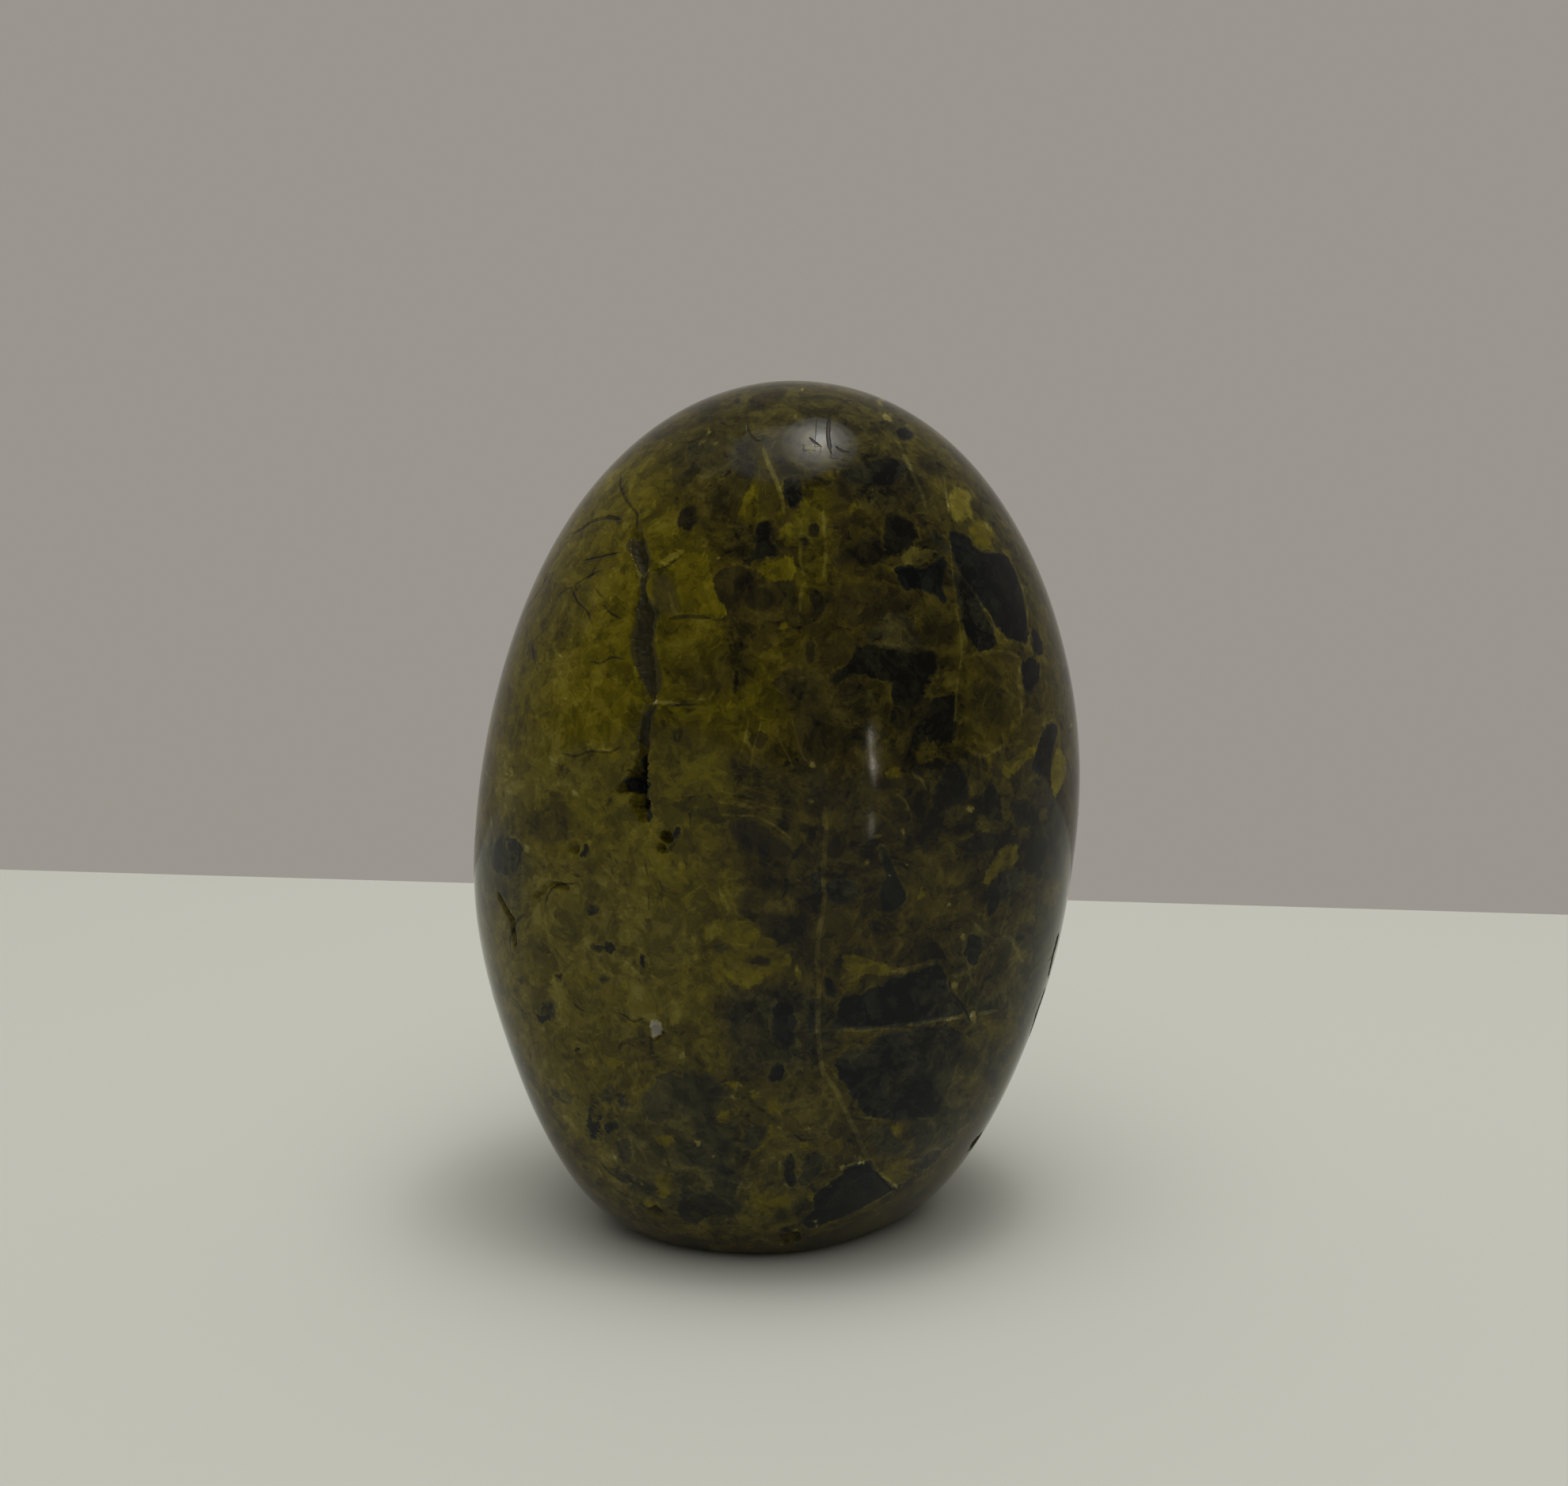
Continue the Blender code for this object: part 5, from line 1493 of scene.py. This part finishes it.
def lay_lines(recipe, layers):
    """Add the veins and painted reflections, fainter where they are broken, the hairlines and the cuts, whose
    depth gives painted shade, to the layers.
    """
    wander = recipe.add_layers(0.0, layers, WANDER_SHARES)
    veins_and_painted_reflections = line_cover(recipe, "vein", wander, VEIN_SOFTNESS)
    layers["veins_and_painted_reflections"] = recipe.times(veins_and_painted_reflections, recipe.blend(layers["unbroken"], FAINTEST_VEIN, 1.0))
    layers["hairlines"] = line_cover(recipe, "hairline", wander, HAIRLINE_SOFTNESS)
    # The hollow layer follows a cut's depth: painted shade in the tone, a duller polish in the roughness
    layers["hollow"] = recipe.between(recipe.field("hollow"), *HOLLOW_EDGE)


def stone_material():
    """Polished jasper: four hues over one scale of tones, then clasts, veins, cracks and grain, with a few
    painted reflections and highlights among the marks and painted shade in the cuts.
    """
    material = bpy.data.materials.new("olive_jasper")
    material.use_nodes = True
    recipe = Recipe(material.node_tree)
    layers = texture_layers(recipe)
    tone, brown, khaki = recipe.parts("ground")
    brown = recipe.add_layers(brown, layers, BROWN_SHARES)
    khaki = recipe.add_layers(khaki, layers, KHAKI_SHARES)
    values = (tone, brown, khaki, recipe.field("ground_cool"), 1.0)
    tone, brown, khaki, cool, strength = lay_marks(recipe, layers, values)
    lay_lines(recipe, layers)

    texture = recipe.add_layers(TEXTURE_LEVEL, layers, TEXTURE_SHARES)
    tone = recipe.add_layers(recipe.total(tone, recipe.times(texture, strength)), layers, TONE_SHARES)
    khaki = recipe.add_layers(khaki, layers, VEIN_KHAKI_SHARES)
    colour = recipe.tones(tone, YELLOW_HUE)
    for share, hue in ((brown, BROWN_HUE), (khaki, KHAKI_HUE), (cool, COOL_HUE)):
        colour = recipe.mix(share, colour, recipe.tones(tone, hue))
    colour = recipe.mix(layers["white"], colour, WHITE_SPOT)

    bump = recipe.node("ShaderNodeBump")
    height = recipe.add_layers(0.0, layers, BUMP_SHARES)
    recipe.fed(bump, {"Strength": 1.0, "Distance": BUMP_HEIGHT, "Height": height})
    shader = material.node_tree.nodes["Principled BSDF"]
    shader.inputs["Specular IOR Level"].default_value = POLISH_SPECULAR
    roughness = recipe.add_layers(POLISH_ROUGHNESS, layers, ROUGHNESS_SHARES)
    recipe.fed(shader, {"Base Color": colour, "Roughness": roughness, "Normal": bump.outputs[0]})
    return material


def floor_material():
    """Plain pale table top."""
    material = bpy.data.materials.new("pale_floor")
    material.use_nodes = True
    shader = material.node_tree.nodes["Principled BSDF"]
    shader.inputs["Base Color"].default_value = (*FLOOR_COLOUR, 1.0)
    shader.inputs["Roughness"].default_value = FLOOR_ROUGHNESS
    shader.inputs["Specular IOR Level"].default_value = FLOOR_SPECULAR
    return material


def make_floor():
    """A wide plain table top, which ends behind the stone."""
    mesh = bpy.data.meshes.new("floor")
    corners = [(x, -FLOOR_HALF, -FLOOR_GAP) for x in (-FLOOR_HALF, FLOOR_HALF)]
    corners += [(x, FLOOR_EDGE + FLOOR_EDGE_SLOPE * x, -FLOOR_GAP) for x in (FLOOR_HALF, -FLOOR_HALF)]
    mesh.from_pydata(corners, [], [(0, 1, 2, 3)])
    mesh.materials.append(floor_material())
    floor = bpy.data.objects.new("floor", mesh)
    bpy.context.scene.collection.objects.link(floor)
    floor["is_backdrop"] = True


def place_light(name, data, azimuth, elevation, distance):
    """Put a light where it faces the stone. No light is seen by the camera itself."""
    lamp = bpy.data.objects.new(name, data)
    towards = Vector(facing(azimuth, elevation))
    lamp.location = Vector(CENTRE) + towards * distance
    lamp.rotation_euler = towards.to_track_quat("Z", "Y").to_euler()
    lamp.visible_camera = False
    bpy.context.scene.collection.objects.link(lamp)
    return lamp


def make_sun():
    """Soft daylight, left out of the reflections."""
    azimuth, elevation, distance, spread, strength = SUN
    data = bpy.data.lights.new("daylight", "SUN")
    data.angle = spread
    data.energy = strength
    data.color = SUN_COLOUR
    sun = place_light("daylight", data, azimuth, elevation, distance)
    sun.visible_glossy = False


def make_lamp(name, azimuth, elevation, distance, width, height, radiance, colour):
    """A flat light seen in the polish, given by the brightness of its surface."""
    data = bpy.data.lights.new(name, "AREA")
    data.shape = "ELLIPSE"
    data.size = width
    data.size_y = height
    area = math.pi * width * height / 4
    data.energy = radiance * math.pi * area
    data.color = colour
    lamp = place_light(name, data, azimuth, elevation, distance)
    lamp.visible_diffuse = name not in SHEEN_ONLY


def make_world():
    """Soft grey light from all round, paler behind the stone than in front."""
    world = bpy.data.worlds.new("studio")
    world.use_nodes = True
    recipe = Recipe(world.node_tree)
    direction = recipe.node("ShaderNodeTexCoord").outputs["Generated"]
    backwards = recipe.fed(recipe.node("ShaderNodeSeparateXYZ"), {0: direction}).outputs["Y"]
    colour = recipe.mix(recipe.between(backwards, *WORLD_BLEND), WORLD_FRONT, WORLD_BACK)
    recipe.fed(world.node_tree.nodes["Background"], {"Color": colour})
    bpy.context.scene.world = world


def make_camera():
    """The photo's viewpoint."""
    data = bpy.data.cameras.new("camera")
    data.lens = LENS
    data.sensor_width = SENSOR
    camera = bpy.data.objects.new("camera", data)
    camera.location = Vector(CAMERA_PLACE)
    camera.rotation_euler = (math.pi / 2 - CAMERA_PITCH, 0, 0)
    bpy.context.scene.collection.objects.link(camera)
    bpy.context.scene.camera = camera


def main():
    """The dressed stone on its stage, and both boxes."""
    stone = make_skin()
    stone.data.materials.append(stone_material())
    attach(stone, "root")
    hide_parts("stone")
    make_floor()
    make_world()
    make_sun()
    for lamp in LAMPS:
        make_lamp(*lamp)
    make_camera()
    bpy.context.scene.view_settings.view_transform = "Standard"
    boxes = {"cad": CAD_BOUNDS, "visual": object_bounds()}
    {name: [list(corner) for corner in box] for name, box in boxes.items()}


main()
